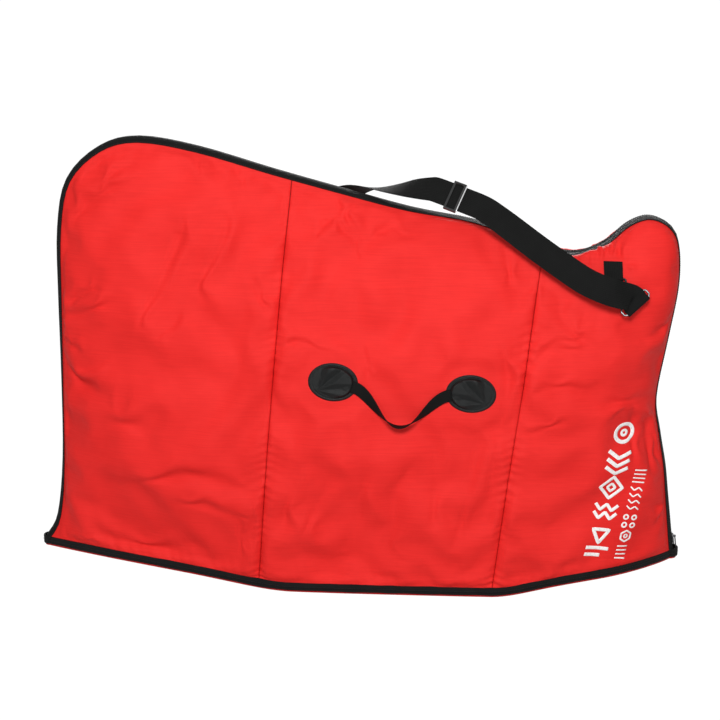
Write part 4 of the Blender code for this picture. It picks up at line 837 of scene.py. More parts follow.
# The zip is a heavy nylon coil on woven tape, sewn over the edges of both sides from one base corner to
# the other. The front coil ends above the slider, which waits at the right-hand end, and stands a little
# off the back one where the slider runs. Below it the front tape goes on alone.
COIL_WIDTH, COIL_THICKNESS, COIL_PITCH, COIL_WIRE = 0.0029, 0.0026, 0.0021, 0.00042
COIL_SAMPLES, COIL_SIDES = 9, 5
COIL_SINK, COIL_OVER = 0.0003, 0.0004
CHAIN_GAP = 0.0022
ZIP_RISE = 0.0016
TAPE_THICKNESS, TAPE_STAND, TAPE_CLEARANCE = 0.0008, 0.0019, 0.0009
TAPE_LAPS = (0.0012, 0.003, 0.005, 0.0068, 0.0085)
TAPE_SPACING = 0.005
FLAT_TAPE_DEPTH, CUT_TAPE_WIDTH = 0.0068, 0.0001
TAPE_REACH = CHAIN_GAP / 2 + COIL_WIDTH * 0.55
SHARP_ANGLE = math.radians(50)
FRONT_CHAIN_END = 0.036
PARTED_TO, JOINED_FROM, PARTED_REACH = 0.184, 0.194, 0.0008


def tube(name, rings, materials, uv=None, flip=False):
    """A closed body through rings of points: stations by points round, with a cap at each end."""
    count, around = rings.shape[:2]
    faces = quads(count, around, wrap_columns=True)
    if flip:
        faces = faces[:, ::-1]
    ends = [list(range(around))[::-1], list(range((count - 1) * around, count * around))]
    faces = faces.tolist() + ([end[::-1] for end in ends] if flip else ends)
    return surface(name, rings, faces, materials, uv)


def cloth_uv(rings):
    """Places on a strip: the way along its path, and the way round its section, in metres."""
    along = np.cumsum(np.linalg.norm(np.diff(rings.mean(1), axis=0, prepend=rings[:1].mean(1)), axis=-1))
    around = np.cumsum(np.linalg.norm(np.diff(rings, axis=1, prepend=rings[:, :1]), axis=-1), axis=1)
    return np.stack((np.broadcast_to(along[:, None], around.shape), around), -1)


def webbing_finish(name, colour, worn, cord=0.0032, pick=0.0021, gloss=0.62):
    """Woven tape: cords along it, each crossed by slanted picks that lean the other way on the next."""
    material, start = finish(name, Specular_IOR_Level=0.07)
    at = laid_out(start)
    along, across = at.part("X"), at.part("Y")
    cords = across.waves(cord)
    slant = across.math("SIGN", across.math("SINE", across * (math.pi / cord)))
    picks = (along + slant * across * 0.6).waves(pick)
    weave = cords ** 0.5 * 0.6 + picks * 0.4
    wear = at.noise(spacing=0.03, detail=4)
    feed(start, "Base Color", (weave * 0.55 + wear * 0.6).between(0.2, 1.15).colours(colour, worn))
    feed(start, "Roughness", gloss + wear * 0.15)
    relief_bump(start, weave, distance=0.0006, strength=0.8)
    return material


TAPE = webbing_finish("black_zip_tape", colour=(0.003, 0.003, 0.003), worn=(0.011, 0.011, 0.011),
                      cord=0.0016, pick=0.0012)
COIL = plain_finish("black_zip_coil", colours=((0.006, 0.006, 0.006), (0.016, 0.016, 0.016)),
                    tone=(0.01, 3), rough=(0.30, 0.002, 2, 0.15), Specular_IOR_Level=0.2)
THREAD = plain_finish("black_thread", colours=((0.008, 0.008, 0.008), (0.030, 0.030, 0.030)),
                      tone=(0.001, 1), rough=(0.5, 0.002, 2.0, 0.2), bump=(0.0004, 2.0, 0.0002, 0.5),
                      Specular_IOR_Level=0.2)

STITCH_ROUND = 6
STITCH_PITCH, STITCH_LENGTH, STITCH_RADIUS, ZIP_STITCH_RADIUS = 0.0042, 0.0030, 0.0004, 0.00035
STITCH_LIFT, STITCH_BOW = 0.9, 1.4
STITCH_STATIONS = ((-1, 0.15), (-0.75, 0.85), (0, 1), (0.75, 0.85), (1, 0.15))


def turns_of(count):
    """Even angles round a full turn."""
    return np.arange(count) * 2 * math.pi / count


def ring_of(angles, side, other):
    """Directions round a ring, between two that are square to each other."""
    return np.cos(angles)[:, None] * side + np.sin(angles)[:, None] * other


def stitches(name, line, outward, body, radius=STITCH_RADIUS):
    """Threads along a line: for each stitch a short bowed rod of six sides."""
    reach = along_path(line)
    at = np.arange(STITCH_PITCH / 2, reach[-1], STITCH_PITCH)
    centre = read_off(line, reach, at)
    out = unit(read_off(outward, reach, at))
    run = unit(read_off(directions(line), reach, at))
    side = np.cross(run, out)
    way, size = np.array(STITCH_STATIONS).T
    middle = (centre[:, None] + run[:, None] * (way * STITCH_LENGTH / 2)[None, :, None]
              + out[:, None] * (radius * (STITCH_LIFT - STITCH_BOW * way ** 2))[None, :, None])
    ring = ring_of(turns_of(STITCH_ROUND), side[:, None, None], out[:, None, None])
    points = middle[:, :, None] + ring * (radius * size)[None, :, None, None]
    each = len(way) * STITCH_ROUND
    one = quads(len(way), STITCH_ROUND, wrap_columns=True)
    shifts = np.arange(len(at)) * each
    faces = (one[None] + shifts[:, None, None]).reshape(-1, 4)[:, ::-1].tolist()
    first, last = np.arange(STITCH_ROUND), np.arange(STITCH_ROUND) + each - STITCH_ROUND
    faces += (first[None] + shifts[:, None]).tolist() + (last[::-1][None] + shifts[:, None]).tolist()
    made = surface(name, points, faces, [THREAD])
    carry(made, body)


zip_even = respaced(ZIP_LINE, TAPE_SPACING)
zip_run = directions(zip_even)
zip_out = np.stack((-zip_run[:, 1], zip_run[:, 0]), -1)


def zip_half(label, chained):
    """Tape over the panels' edges and beside the coil; it is cut narrow where its coil has ended."""
    facing = FACING[label]
    stations, outward = zip_even, zip_out
    laps = stations[:, None] - outward[:, None] * np.array(TAPE_LAPS)[None, :, None]
    lap_points = side_point(laps[..., 0], laps[..., 1])
    lap_normals = side_normal(laps[..., 0], laps[..., 1])

    def off_line(depth, out):
        place = stations + outward * out
        return np.stack((place[:, 0], -depth * np.ones(len(place)), place[:, 1]), -1)[:, None]

    edge = np.where(chained, TAPE_REACH, FLAT_TAPE_DEPTH - CUT_TAPE_WIDTH)
    over = lap_points + lap_normals * (TAPE_CLEARANCE + TAPE_THICKNESS)
    under = lap_points + lap_normals * TAPE_CLEARANCE
    top = [off_line(depth, TAPE_STAND + TAPE_THICKNESS / 2) for depth in (edge, FLAT_TAPE_DEPTH)]
    low = [off_line(depth, TAPE_STAND - TAPE_THICKNESS / 2) for depth in (FLAT_TAPE_DEPTH, edge)]
    mirror = np.array((1, -facing, 1))
    rings = np.concatenate((*top, over, under[:, ::-1], *low), 1) * mirror
    tape = tube(f"{label}_zip_tape", rings, [TAPE], uv=cloth_uv(rings), flip=facing > 0)
    tape.data.set_sharp_from_angle(angle=SHARP_ANGLE)

    stations, outward = stations[chained], outward[chained]
    reach = along_path(stations)
    count = int(reach[-1] / COIL_PITCH * COIL_SAMPLES)
    at = np.linspace(0, reach[-1], count)
    line = read_off(stations, reach, at)
    out = unit(read_off(outward, reach, at))
    turn = 2 * math.pi * at / COIL_PITCH + (math.pi if facing > 0 else 0)
    joined = np.where(line[:, 0] > 0, eased(line[:, 1], PARTED_TO, JOINED_FROM), 1)
    depth = CHAIN_GAP / 2 + COIL_WIDTH / 2 - COIL_SINK * joined
    depth = depth + (COIL_WIDTH / 2 + COIL_OVER - PARTED_REACH * (1 - joined)) * np.cos(turn)
    rise = ZIP_RISE + (COIL_THICKNESS / 2 - COIL_WIRE) * np.sin(turn)
    path = np.stack((line[:, 0] + out[:, 0] * rise, depth * facing, line[:, 1] + out[:, 1] * rise), -1)
    run = directions(path)
    side = unit(np.cross(run, np.stack((out[:, 0], np.zeros(count), out[:, 1]), -1)))
    ring = ring_of(turns_of(COIL_SIDES), side[:, None], np.cross(run, side)[:, None])
    coil = tube(f"{label}_zip_coil", path[:, None] + COIL_WIRE * ring, [COIL])
    for piece in (tape, coil):
        carry(piece, BODIES[label])
        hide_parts(f"{label}_zip_half")
    stitches(f"{label}_zip_stitches", over[:, 3] * mirror, lap_normals[:, 3] * mirror, BODIES[label],
             ZIP_STITCH_RADIUS)


above_slider = (zip_even[:, 1] > ZIP_LINE[-1, 1] + FRONT_CHAIN_END) | (zip_even[:, 0] < 0)
zip_half("front", above_slider)
zip_half("back", np.ones(len(zip_even), bool))


# The base is a long boat of red cloth over foam. Its two seams are bound in black grosgrain tape, folded
# over the edges of side and base and sewn through. A loose foam pad with two tie straps lies inside.
BINDING_THICKNESS, BINDING_INSET, BINDING_OVER, BINDING_ROUND = 0.0042, 0.0006, 0.0022, 20
BINDING_POWERS, BINDING_PINCH, BINDING_SINK = (0.45, 0.6), 0.25, 0.0001
BINDING_WAVER, WAVER_SPACING, WAVER_SEEDS = 0.04, 0.05, {"front": 5, "back": 8}
SEAM_HEIGHT = BINDING_DROP + BINDING_HEIGHT / 2
END_TURN_STATIONS = 12
BASE_THICKNESS, BASE_END_INSET, BASE_EDGE_INSET = 0.010, 0.004, 0.0010
BASE_STATIONS, BASE_ACROSS = 300, 60
BASE_EDGE_ROUND, BASE_WAVE_SPACING, BASE_WAVE_EASE = 2.6, 0.12, 0.03
PAD_THICKNESS, PAD_INSET, PAD_TRIM = 0.006, 0.016, 33
BASE_WAVE, PAD_WAVE, BASE_SEED, PAD_SEED = 0.0010, 0.0008, 31, 37
CLEARANCE = 0.0003

seam_x = np.linspace(ZIP_LINE[0, 0] + BASE_END_INSET, ZIP_LINE[-1, 0] - BASE_END_INSET, BASE_STATIONS)
seam_width = -side_point(seam_x, base_rise(seam_x) + PANEL_FOOT)[:, 1]
seam = np.stack((seam_x, -seam_width, base_rise(seam_x)), -1)
seam_out = unit(np.cross(directions(seam), (0, 0, 1)))
BINDING = webbing_finish("black_grosgrain", colour=(0.003, 0.003, 0.003), worn=(0.012, 0.012, 0.012),
                         cord=0.0150, pick=0.0016, gloss=0.58)


def turned_in(line):
    """A line along the seam with a quarter turn at each end, round to the middle plane."""
    turns = np.linspace(0, 1, END_TURN_STATIONS)[1:, None] * math.pi / 2
    ends = []
    for end, way in ((0, -1), (-1, 1)):
        deep = -line[end, 1]
        ends.append(line[end] * (1, 0, 1) + np.sin(turns) * (way * deep, 0, 0) - np.cos(turns) * (0, deep, 0))
    return np.vstack((ends[0][::-1], line, ends[1]))


def squared(angles, across_power, through_power):
    """Cosine and sine of the angles, each drawn out by a power towards a square."""
    pairs = (np.cos(angles), across_power), (np.sin(angles), through_power)
    return [np.sign(share) * np.abs(share) ** power for share, power in pairs]


def stands_for(piece, body, nodes):
    """A piece that rides one body in place of its plain solids."""
    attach(piece, body)
    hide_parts(nodes)


for label, facing in FACING.items():
    mirror = np.array((1, -facing, 1))
    line = turned_in(seam - seam_out * BINDING_INSET + np.array((0, 0, SEAM_HEIGHT + BINDING_OVER / 2)))
    outward = unit(np.cross(directions(line), (0, 0, 1)))
    upward = np.cross(outward, directions(line))
    angles = turns_of(BINDING_ROUND)
    flat, tall = squared(angles, *BINDING_POWERS)
    waver = 1 + BINDING_WAVER * billows(line[:, :1] * (1, 0), WAVER_SPACING, WAVER_SEEDS[label])
    reach = BINDING_THICKNESS / 2 * flat * (1 - BINDING_PINCH * np.cos(angles) ** 2 * (1 - tall ** 2))
    rise = (BINDING_HEIGHT + BINDING_OVER) / 2 * tall
    rings = (line[:, None] + outward[:, None] * reach[None, :, None]
             + upward[:, None] * rise[None, :, None] * waver[:, None, None]) * mirror
    made = tube(f"{label}_binding", rings, [BINDING], uv=cloth_uv(rings), flip=facing > 0)
    stands_for(made, "shell", f"{label}_base_binding")
    sewn = line + outward * (BINDING_THICKNESS / 2 - BINDING_SINK)
    stitches(f"{label}_binding_stitches", sewn * mirror, outward * mirror, "shell")

# The base takes the sides' red nylon painted darker: painted shade for the underside of the bag.
SHADED_BASE_RED = red_nylon("red_base_nylon", colour=(0.62, 0.016, 0.014), dark=(0.46, 0.010, 0.009))
FOAM, start = finish("grey_foam", Roughness=0.9)
at = places(start)
cells = at.node("TexVoronoi", None, {"Vector": at, "Scale": 900.0})
shade = (cells + at.noise(spacing=0.04)).between(0.2, 1.2)
feed(start, "Base Color", shade.colours((0.07, 0.07, 0.075), (0.13, 0.13, 0.135)))
relief_bump(start, cells, distance=0.0004, strength=0.6)


def base_sheet(name, material, inset, low, high, trimmed, wave_height, seed):
    """A rounded sheet between the two seams: low and high faces meet in a soft edge, and a sheet that
    isn't trimmed short is turned in at its ends."""
    edge = (seam - seam_out * inset)[trimmed:BASE_STATIONS - trimmed]
    edge = edge if trimmed else turned_in(edge)[1:-1]
    across = np.sin(np.linspace(-1, 1, BASE_ACROSS) * math.pi / 2)
    grid = edge[:, None] * np.array((1, 0, 1)) + edge[:, None] * np.array((0, 1, 0)) * across[None, :, None]
    ends = np.minimum(grid[..., 0] - grid[0, 0, 0], grid[-1, 0, 0] - grid[..., 0])
    off = np.minimum((1 - np.abs(across))[None] * np.abs(edge[:, 1:2]), ends)
    edge_fall = (high - low) / 2 * (1 - np.clip(off / (high - low) * BASE_EDGE_ROUND, 0, 1)) ** 2
    waves = wave_height * billows(grid[..., :2], BASE_WAVE_SPACING, seed) * eased(off, 0.0, BASE_WAVE_EASE)
    top = grid + np.stack((0 * off, 0 * off, high - edge_fall + np.minimum(waves, 0)), -1)
    bottom = grid + np.stack((0 * off, 0 * off, low + edge_fall + np.maximum(waves, 0)), -1)
    return slab(name, bottom, top, [material], flip=False)


base = base_sheet("base_cloth", SHADED_BASE_RED, BASE_EDGE_INSET, 0, BASE_THICKNESS, 0, BASE_WAVE, BASE_SEED)
stands_for(base, "shell", "base_panel")
pad_low = BASE_THICKNESS + CLEARANCE
pad = base_sheet("inner_pad", FOAM, PAD_INSET, pad_low, pad_low + PAD_THICKNESS, PAD_TRIM, PAD_WAVE, PAD_SEED)
stands_for(pad, "shell", "base_pad")

WEBBING = webbing_finish("black_webbing", colour=(0.0020, 0.0021, 0.0020), worn=(0.0090, 0.0093, 0.0090))
STRIP_ROUND, STRIP_POWERS = 24, (0.35, 0.6)


def strip(name, centres, widths, width, thickness):
    """Webbing: a flat section with round edges, carried along its centres and turned to their widths."""
    across, through = squared((np.arange(STRIP_ROUND) + 0.5) * 2 * math.pi / STRIP_ROUND, *STRIP_POWERS)
    across, through = across * width / 2, through * thickness / 2
    widths = unit(np.asarray(widths))
    faces = unit(np.cross(widths, directions(centres)))
    rings = centres[:, None] + widths[:, None] * across[None, :, None]
    rings = rings + faces[:, None] * through[None, :, None]
    return tube(name, rings, [WEBBING], uv=cloth_uv(rings))


TIES = {"left_tie_strap": -0.06 * LENGTH, "right_tie_strap": 0.14 * LENGTH}
TIE_WIDTH, TIE_THICKNESS, TIE_LENGTH, TIE_STATIONS = 0.025, 0.002, 0.19, 60
TIE_WAVE, TIE_WAVE_TURNS = 0.0004, 60
tie_height = BASE_THICKNESS + PAD_THICKNESS + 2 * CLEARANCE + TIE_THICKNESS / 2
for tie, tie_x in TIES.items():
    way = np.linspace(-1, 1, TIE_STATIONS)[:, None] * (0, TIE_LENGTH / 2, 0)
    centres = way + (tie_x, 0, tie_height)
    centres[:, 2] += TIE_WAVE * np.sin(way[:, 1] * TIE_WAVE_TURNS) ** 2
    made = strip(f"{tie}_webbing", centres, ((1.0, 0, 0),), TIE_WIDTH, TIE_THICKNESS)
    stands_for(made, "shell", tie)


# Handle patches are ovals of black grained leather, stitched round their rims, each with a folded cone
# that the handle's webbing comes out of.
PATCH_LENGTH, PATCH_HEIGHT, PATCH_THICKNESS = 0.092, 0.070, 0.0022
PATCH_PLACES = {"left": np.array((-0.0367 * LENGTH, 0.4955 * HEIGHT)),
                "right": np.array((0.1693 * LENGTH, 0.4755 * HEIGHT))}
PATCH_RINGS, PATCH_ROUND, PATCH_SEWN = 34, 108, 90
PATCH_EDGE_FROM, PATCH_EDGE_FALL = 0.93, 0.85
PATCH_SEAM, PATCH_SEAM_DIP, PATCH_SEAM_WIDTH, PATCH_SEAM_SINK = 0.86, 0.0007, 0.02, 0.0004
# the cone's mouth, where the webbing comes out, and its pleats, which fan out from a tip
FOLD_TO, FOLD_DROP, FOLD_HEIGHT, FOLD_WIDTH = 0.033, 0.005, 0.0078, 0.027
MOUTH_SHARE, MOUTH_RISE, MOUTH_END = 0.48, (0.002, 0.024), (FOLD_TO - 0.003, FOLD_TO + 0.0015)
CONE_TIP, CONE_SLOPE, CONE_END, CONE_CAP = (-0.028, FOLD_DROP + 0.012), 0.21, (0.74, 0.84), 0.95
PLEAT_HEADINGS, PLEAT_SHARES = (-22, -6, 10, 27, 43, 62, 82), (0, 0.7, 0.35, 1.0, 0.3, 0.95, 0)
PLACE_TRIES = 5
handle_run = unit(PATCH_PLACES["right"] - PATCH_PLACES["left"])
handle_down = np.array((handle_run[1], -handle_run[0]))


def cloth(x, z, height, facing):
    """A point `height` off the plain outer face, where it is seen at x, z, and the outward direction."""
    x, z = np.broadcast_arrays(np.asarray(x, float), np.asarray(z, float))
    middle_x, middle_z = x.copy(), z.copy()
    for _ in range(PLACE_TRIES):
        seen = side_point(middle_x, middle_z)
        middle_x, middle_z = middle_x + x - seen[..., 0], middle_z + z - seen[..., 2]
    outward = side_normal(middle_x, middle_z)
    point = side_point(middle_x, middle_z) + outward * np.asarray(height)[..., None]
    return point * (1, -facing, 1), outward * (1, -facing, 1)


LEATHER, start = finish("black_leather", Specular_IOR_Level=0.16)
at = places(start)
grain = at.node("TexVoronoi", {"feature": "DISTANCE_TO_EDGE"}, {"Vector": at, "Scale": 700.0})
pores = grain.between(0.0, 0.12)
rubbed = at.noise(spacing=0.012, detail=4)
shade = (rubbed * 0.7 + pores * 0.3).between(0.3, 0.9)
feed(start, "Base Color", shade.colours((0.002, 0.0025, 0.0025), (0.008, 0.009, 0.009)))
feed(start, "Roughness", 0.24 + rubbed * 0.2)
relief_bump(start, pores + rubbed * 0.8, distance=0.0003, strength=0.45)


def handle_patches(end, towards):
    """Rings about the middle; height is the leather's thickness, a rolled rim and a cone of three pleats."""
    size = np.sin(np.linspace(0, 1, PATCH_RINGS) * math.pi / 2)[:, None]
    turn = turns_of(PATCH_ROUND)[None]
    along, down = PATCH_LENGTH / 2 * size * np.cos(turn), PATCH_HEIGHT / 2 * size * np.sin(turn)
    lift = PATCH_THICKNESS * (1 - eased(size, PATCH_EDGE_FROM, 1.0) * PATCH_EDGE_FALL) + 0 * turn
    lift = lift - hill(size, PATCH_SEAM_DIP, PATCH_SEAM, PATCH_SEAM_WIDTH)
    away_along, away_down = along - CONE_TIP[0], down - CONE_TIP[1]
    distance = np.hypot(away_along, away_down)
    heading = np.degrees(np.arctan2(-away_down, away_along))
    pleat = np.interp(heading, PLEAT_HEADINGS, PLEAT_SHARES)
    cone = distance * CONE_SLOPE * pleat * (1 - eased(size, *CONE_END))
    mouth = FOLD_HEIGHT * np.exp(-((down - FOLD_DROP) / (FOLD_WIDTH * MOUTH_SHARE)) ** 4)
    mouth = mouth * eased(along, *MOUTH_RISE) * (1 - eased(along, *MOUTH_END))
    lift = np.maximum(lift + np.minimum(cone, FOLD_HEIGHT * CONE_CAP), mouth)
    middle = PATCH_PLACES[end]
    spot = middle + along[..., None] * towards + down[..., None] * handle_down
    low, outward = cloth(spot[..., 0], spot[..., 1], CLEARANCE, FACING["front"])
    rings = np.concatenate((low + outward * lift[..., None], low[::-1]))
    turns = np.linspace(0, 2 * math.pi, PATCH_SEWN)[:, None]
    oval = PATCH_LENGTH * np.cos(turns) * towards + PATCH_HEIGHT * np.sin(turns) * handle_down
    ring = middle + PATCH_SEAM / 2 * oval
    line, out = cloth(ring[:, 0], ring[:, 1], CLEARANCE + PATCH_THICKNESS - PATCH_SEAM_SINK, FACING["front"])
    for label, facing in FACING.items():
        mirror = np.array((1, -facing, 1))
        faces = quads(len(rings), PATCH_ROUND, wrap_columns=True)
        faces = faces if (facing > 0) == (end == "left") else faces[:, ::-1]
        made = surface(f"{label}_patch_{end}", rings * mirror, faces.tolist(), [LEATHER])
        stands_for(made, BODIES[label], f"{label}_handle_patch_{end}")
        stitches(f"{label}_patch_{end}_stitches", line * mirror, out * mirror, BODIES[label])


handle_patches("left", handle_run)
handle_patches("right", -handle_run)


# Handles are single lengths of 22 mm webbing. They leave the cones flat, hang in a curve and stand on
# edge at the bottom.
HANDLE_WIDTH, HANDLE_THICKNESS = 0.022, 0.0022
HANDLE_SAG, HANDLE_STAND = 0.064, 0.0150
HANDLE_STATIONS = 120
HANDLE_END_GAP = 0.0004

low_stand = CLEARANCE * 2 + PATCH_THICKNESS + HANDLE_THICKNESS / 2
handle_start = PATCH_PLACES["left"] + handle_run * (FOLD_TO + HANDLE_END_GAP)
handle_end = PATCH_PLACES["right"] - handle_run * (FOLD_TO + HANDLE_END_GAP)
part_way = np.linspace(0, 1, HANDLE_STATIONS)
hang = np.sin(math.pi * part_way) ** 2
place = (handle_start + part_way[:, None] * (handle_end - handle_start)
         + (FOLD_DROP + HANDLE_SAG * hang)[:, None] * handle_down)
turn = math.pi / 2 * hang
stand = low_stand + (HANDLE_STAND - low_stand) * np.sin(turn)
for label, facing in FACING.items():
    centres, outward = cloth(place[:, 0], place[:, 1], stand, facing)
    run = directions(centres)
    run[0] = run[-1] = unit(centres[-1] - centres[0])
    flat = unit(np.cross(outward, run)) * -facing
    out = unit(outward - run * (outward * run).sum(-1)[:, None])
    widths = np.cos(turn)[:, None] * flat + np.sin(turn)[:, None] * out
    made = strip(f"{label}_handle_webbing", centres, widths, HANDLE_WIDTH, HANDLE_THICKNESS)
    stands_for(made, f"{label}_handle", f"{label}_handle")


# Each strap end has a D-ring in a folded webbing tab, and a snap hook whose wide eye holds the strap.
# The metal is black plated; the ring, hook and eye are bent from wire.
TAB_PLACES = {"front": (0.3766 * LENGTH, 0.7170 * HEIGHT), "back": (-0.363 * LENGTH, 0.7335 * HEIGHT)}
RING_TUBE, RING_RADIUS, RING_NECK, RING_STAND = 0.0020, 0.022, 0.004, 0.0046
RING_TILT = math.radians(13.5)
RING_TAB_WIDTH, RING_TAB_LENGTH, RING_TAB_PLAY, RING_TAB_LIFT = 0.034, 0.028, 0.0006, 0.0020
RING_TAB_LEGS, RING_TAB_SPACING, RING_TAB_BEND_STATIONS = (1.0, 0.6, 0.25), 0.0008, 21
STRAP_WIDTH, STRAP_THICKNESS = 0.050, 0.0016
HOOK_TURNS = {"front": math.radians(45), "back": math.radians(58)}
EYE_BOTTOM = 0.0425

BLACK_METAL = plain_finish("black_metal", colours=((0.030, 0.031, 0.033), (0.090, 0.090, 0.094)),
                           tone=(0.006, 4), rough=(0.20, 0.003, 3, 0.2), bump=(0.0012, 2, 0.0002, 0.25),
                           contrast=(0.35, 0.75), Metallic=1.0)
# A steel bar made much lighter than the black-plated metal, so that it shows as a painted highlight along the
# adjuster's right edge.
GLINT_STEEL = plain_finish("steel_with_painted_glint", colours=((0.55, 0.55, 0.56), (0.78, 0.78, 0.78)),
                            tone=(0.004, 3), rough=(0.16, 0.003, 3, 0.15),
                            bump=(0.0015, 2, 0.0002, 0.2), Metallic=1.0)
PLASTIC = plain_finish("black_plastic", colours=((0.010, 0.010, 0.010), (0.022, 0.022, 0.022)),
                       tone=(0.01, 3), rough=(0.32, 0.0015, 2, 0.12), bump=(0.0006, 2, 0.0001, 0.4),
                       Specular_IOR_Level=0.25)


def arc(middle, radius, start, end, count):
    angles = np.radians(np.linspace(start, end, count))
    return np.stack((middle[0] + radius * np.cos(angles), middle[1] + radius * np.sin(angles)), -1)


def seat(x, z, facing):
    """Place and axes on the cloth, as rows: across, down the cloth, outward."""
    point, outward = cloth(x, z, 0.0, facing)
    down = unit(np.array((0, 0, -1.0)) + outward * outward[2])
    return point, np.stack((np.cross(down, outward), down, outward))


def turned(axes, angle, about):
    """Axes turned by an angle about one of their own."""
    c, s = math.cos(angle), math.sin(angle)
    turns = {0: ((1, 0, 0), (0, c, s), (0, -s, c)), 2: ((c, s, 0), (-s, c, 0), (0, 0, 1))}
    return np.array(turns[about]) @ axes


hooks = {}
for label, facing in FACING.items():
    x, z = TAB_PLACES[label]
    point, axes = seat(x, z, facing)
    ring_axes = turned(axes, RING_TILT, 0)
    ring_place = point + axes[2] * RING_STAND
    turned_ring = turned(ring_axes, HOOK_TURNS[label], 2)
    hook_place = ring_place + ring_axes[1] * RING_NECK + turned_ring[1] * RING_RADIUS
    hooks[label] = hook_place, turned(axes, HOOK_TURNS[label], 2)

    loop = RING_TUBE + RING_TAB_PLAY + STRAP_THICKNESS / 2
    low = RING_TAB_LIFT + STRAP_THICKNESS / 2
    high = low + STRAP_THICKNESS + CLEARANCE
    legs = np.array(RING_TAB_LEGS) * RING_TAB_LENGTH
    bend = arc((0, RING_STAND), loop, -90, 90, RING_TAB_BEND_STATIONS)
    under = cloth(x, z + legs, low, facing)[0]
    over = cloth(x, z + legs[::-1], high, facing)[0]
    round_bar = point + bend[:, :1] * axes[1] + bend[:, 1:] * axes[2]
    centres = np.concatenate((under, round_bar, over))
    made = strip(f"{label}_ring_webbing", respaced(centres, RING_TAB_SPACING), -axes[:1], RING_TAB_WIDTH,
                 STRAP_THICKNESS)
    stands_for(made, BODIES[label], f"{label}_ring_tab")


# The shoulder strap is one length of 50 mm webbing from the front eye over the top to the back eye. Each
# end is turned round its eye's lower bar and sewn down.
STRAP_FRONT_SHARES = (
    (0.3715, -0.4350, 0.7000, 0.20), (0.3398, -0.4000, 0.7165, 0.23), (0.3180, -0.3610, 0.7330, 0.26),
    (0.2669, -0.2900, 0.7802, 0.30), (0.2190, -0.2330, 0.8290, 0.36), (0.1840, -0.1930, 0.8627, 0.40))
STRAP_ARCH_SHARES = (
    (0.1103, -0.1286, 0.8991, 0.40), (0.0740, -0.0500, 0.8960, 0.62), (0.0403, 0.0429, 0.8900, 0.92),
    (0.0061, 0.1286, 0.8850, 1.22), (-0.0193, 0.1700, 0.8740, 1.46), (-0.0580, 0.1780, 0.8540, 1.65))
STRAP_BACK_SHARES = (
    (-0.1103, 0.1800, 0.8404, 1.74), (-0.1700, 0.2060, 0.8286, 1.77), (-0.2300, 0.2360, 0.8122, 1.80),
    (-0.2900, 0.2640, 0.7840, 1.84), (-0.3420, 0.2980, 0.7420, 1.88))
STRAP_OVER_SHARES = ((0.47, 0.75), (1.06, 1.0))
STRAP_STRAIGHT_SHARES = (0.08, 0.92, 1.0)
STRAP_BEND, STRAP_TAIL, STRAP_OVER_HEIGHT, STRAP_BEND_STATIONS = 0.0032, 0.009, 0.0110, 11
STRAP_STATIONS = 18
BAR_STATIONS, BAR_SIDES, BAR_RADIUS = 41, 12, 0.0013
BAR_INSET, BAR_OUT, BAR_TAPER_FROM, BAR_TAPER = 0.96, 0.4, 0.96, 12
STRAP_SPACING, STRAP_SMOOTHING, STRAP_FREE = 0.003, 30, 0.03


def hook_end(place, axes):
    """Rows of place and lean: the sewn tail and the turn round the eye's bar, and the start back over it."""
    bend = arc((EYE_BOTTOM, 0), STRAP_BEND, -90, 90, STRAP_BEND_STATIONS)
    tail = [(EYE_BOTTOM - STRAP_TAIL, STRAP_THICKNESS / 4), (EYE_BOTTOM - STRAP_TAIL / 2, -STRAP_BEND / 2)]
    over = [(EYE_BOTTOM - STRAP_TAIL, STRAP_BEND + CLEARANCE)]
    over += [(EYE_BOTTOM - EYE_BOTTOM * back, STRAP_OVER_HEIGHT * up) for back, up in STRAP_OVER_SHARES]
    lean = math.atan2(axes[2, 2], -axes[2, 1]) / (math.pi / 2)
    rows = [place + np.array(points) @ axes[1:] for points in ((*tail, *bend), over)]
    return [np.column_stack((points, np.full(len(points), lean))) for points in rows]


front_loops, front_over = hook_end(*hooks["front"])
back_loops, back_over = hook_end(*hooks["back"])
front_rows, arch_rows, back_rows = (np.multiply(rows, (LENGTH, DEPTH, HEIGHT, 1))
                                    for rows in (STRAP_FRONT_SHARES, STRAP_ARCH_SHARES, STRAP_BACK_SHARES))
climb = curve(np.vstack((front_over[:2], front_rows)), STRAP_STATIONS)
straight_rows = front_rows[-1] + np.multiply.outer(STRAP_STRAIGHT_SHARES, arch_rows[0] - front_rows[-1])
arch_line = curve(arch_rows, STRAP_STATIONS)
fall = curve(np.vstack((arch_rows[-1], back_rows, back_over[::-1])), STRAP_STATIONS)
strap_line = np.vstack((front_loops, climb, straight_rows, arch_line[1:], fall[1:], back_loops[::-1]))
arch_marks = [len(front_loops) + len(climb) + len(straight_rows) - 1,
              len(strap_line) - len(back_loops) - len(fall)]
arch_ways = along_path(strap_line[:, :3])[arch_marks]
loop_ways = along_path(strap_line[:, :3])[[len(front_loops) + 1, -len(back_loops) - 2]]
strap_line = respaced(strap_line, STRAP_SPACING)
strap_ways = along_path(strap_line[:, :3])
free = (eased(strap_ways, loop_ways[0], loop_ways[0] + STRAP_FREE)
        * eased(-strap_ways, -loop_ways[1], STRAP_FREE - loop_ways[1]))
for _ in range(STRAP_SMOOTHING):
    middle = (strap_line[:-2] + 2 * strap_line[1:-1] + strap_line[2:]) / 4
    strap_line[1:-1] += free[1:-1, None] * (middle - strap_line[1:-1])
strap_run = directions(strap_line[:, :3])
strap_lean = strap_line[:, 3] * math.pi / 2
strap_face = np.stack((np.zeros_like(strap_lean), -np.cos(strap_lean), np.sin(strap_lean)), -1)
strap_widths = unit(np.cross(strap_run, strap_face))
strap_widths[strap_ways < loop_ways[0]] = -hooks["front"][1][0]
strap_widths[strap_ways > loop_ways[1]] = hooks["back"][1][0]
arch_from, arch_to = (int(np.abs(strap_ways - way).argmin()) for way in arch_ways)


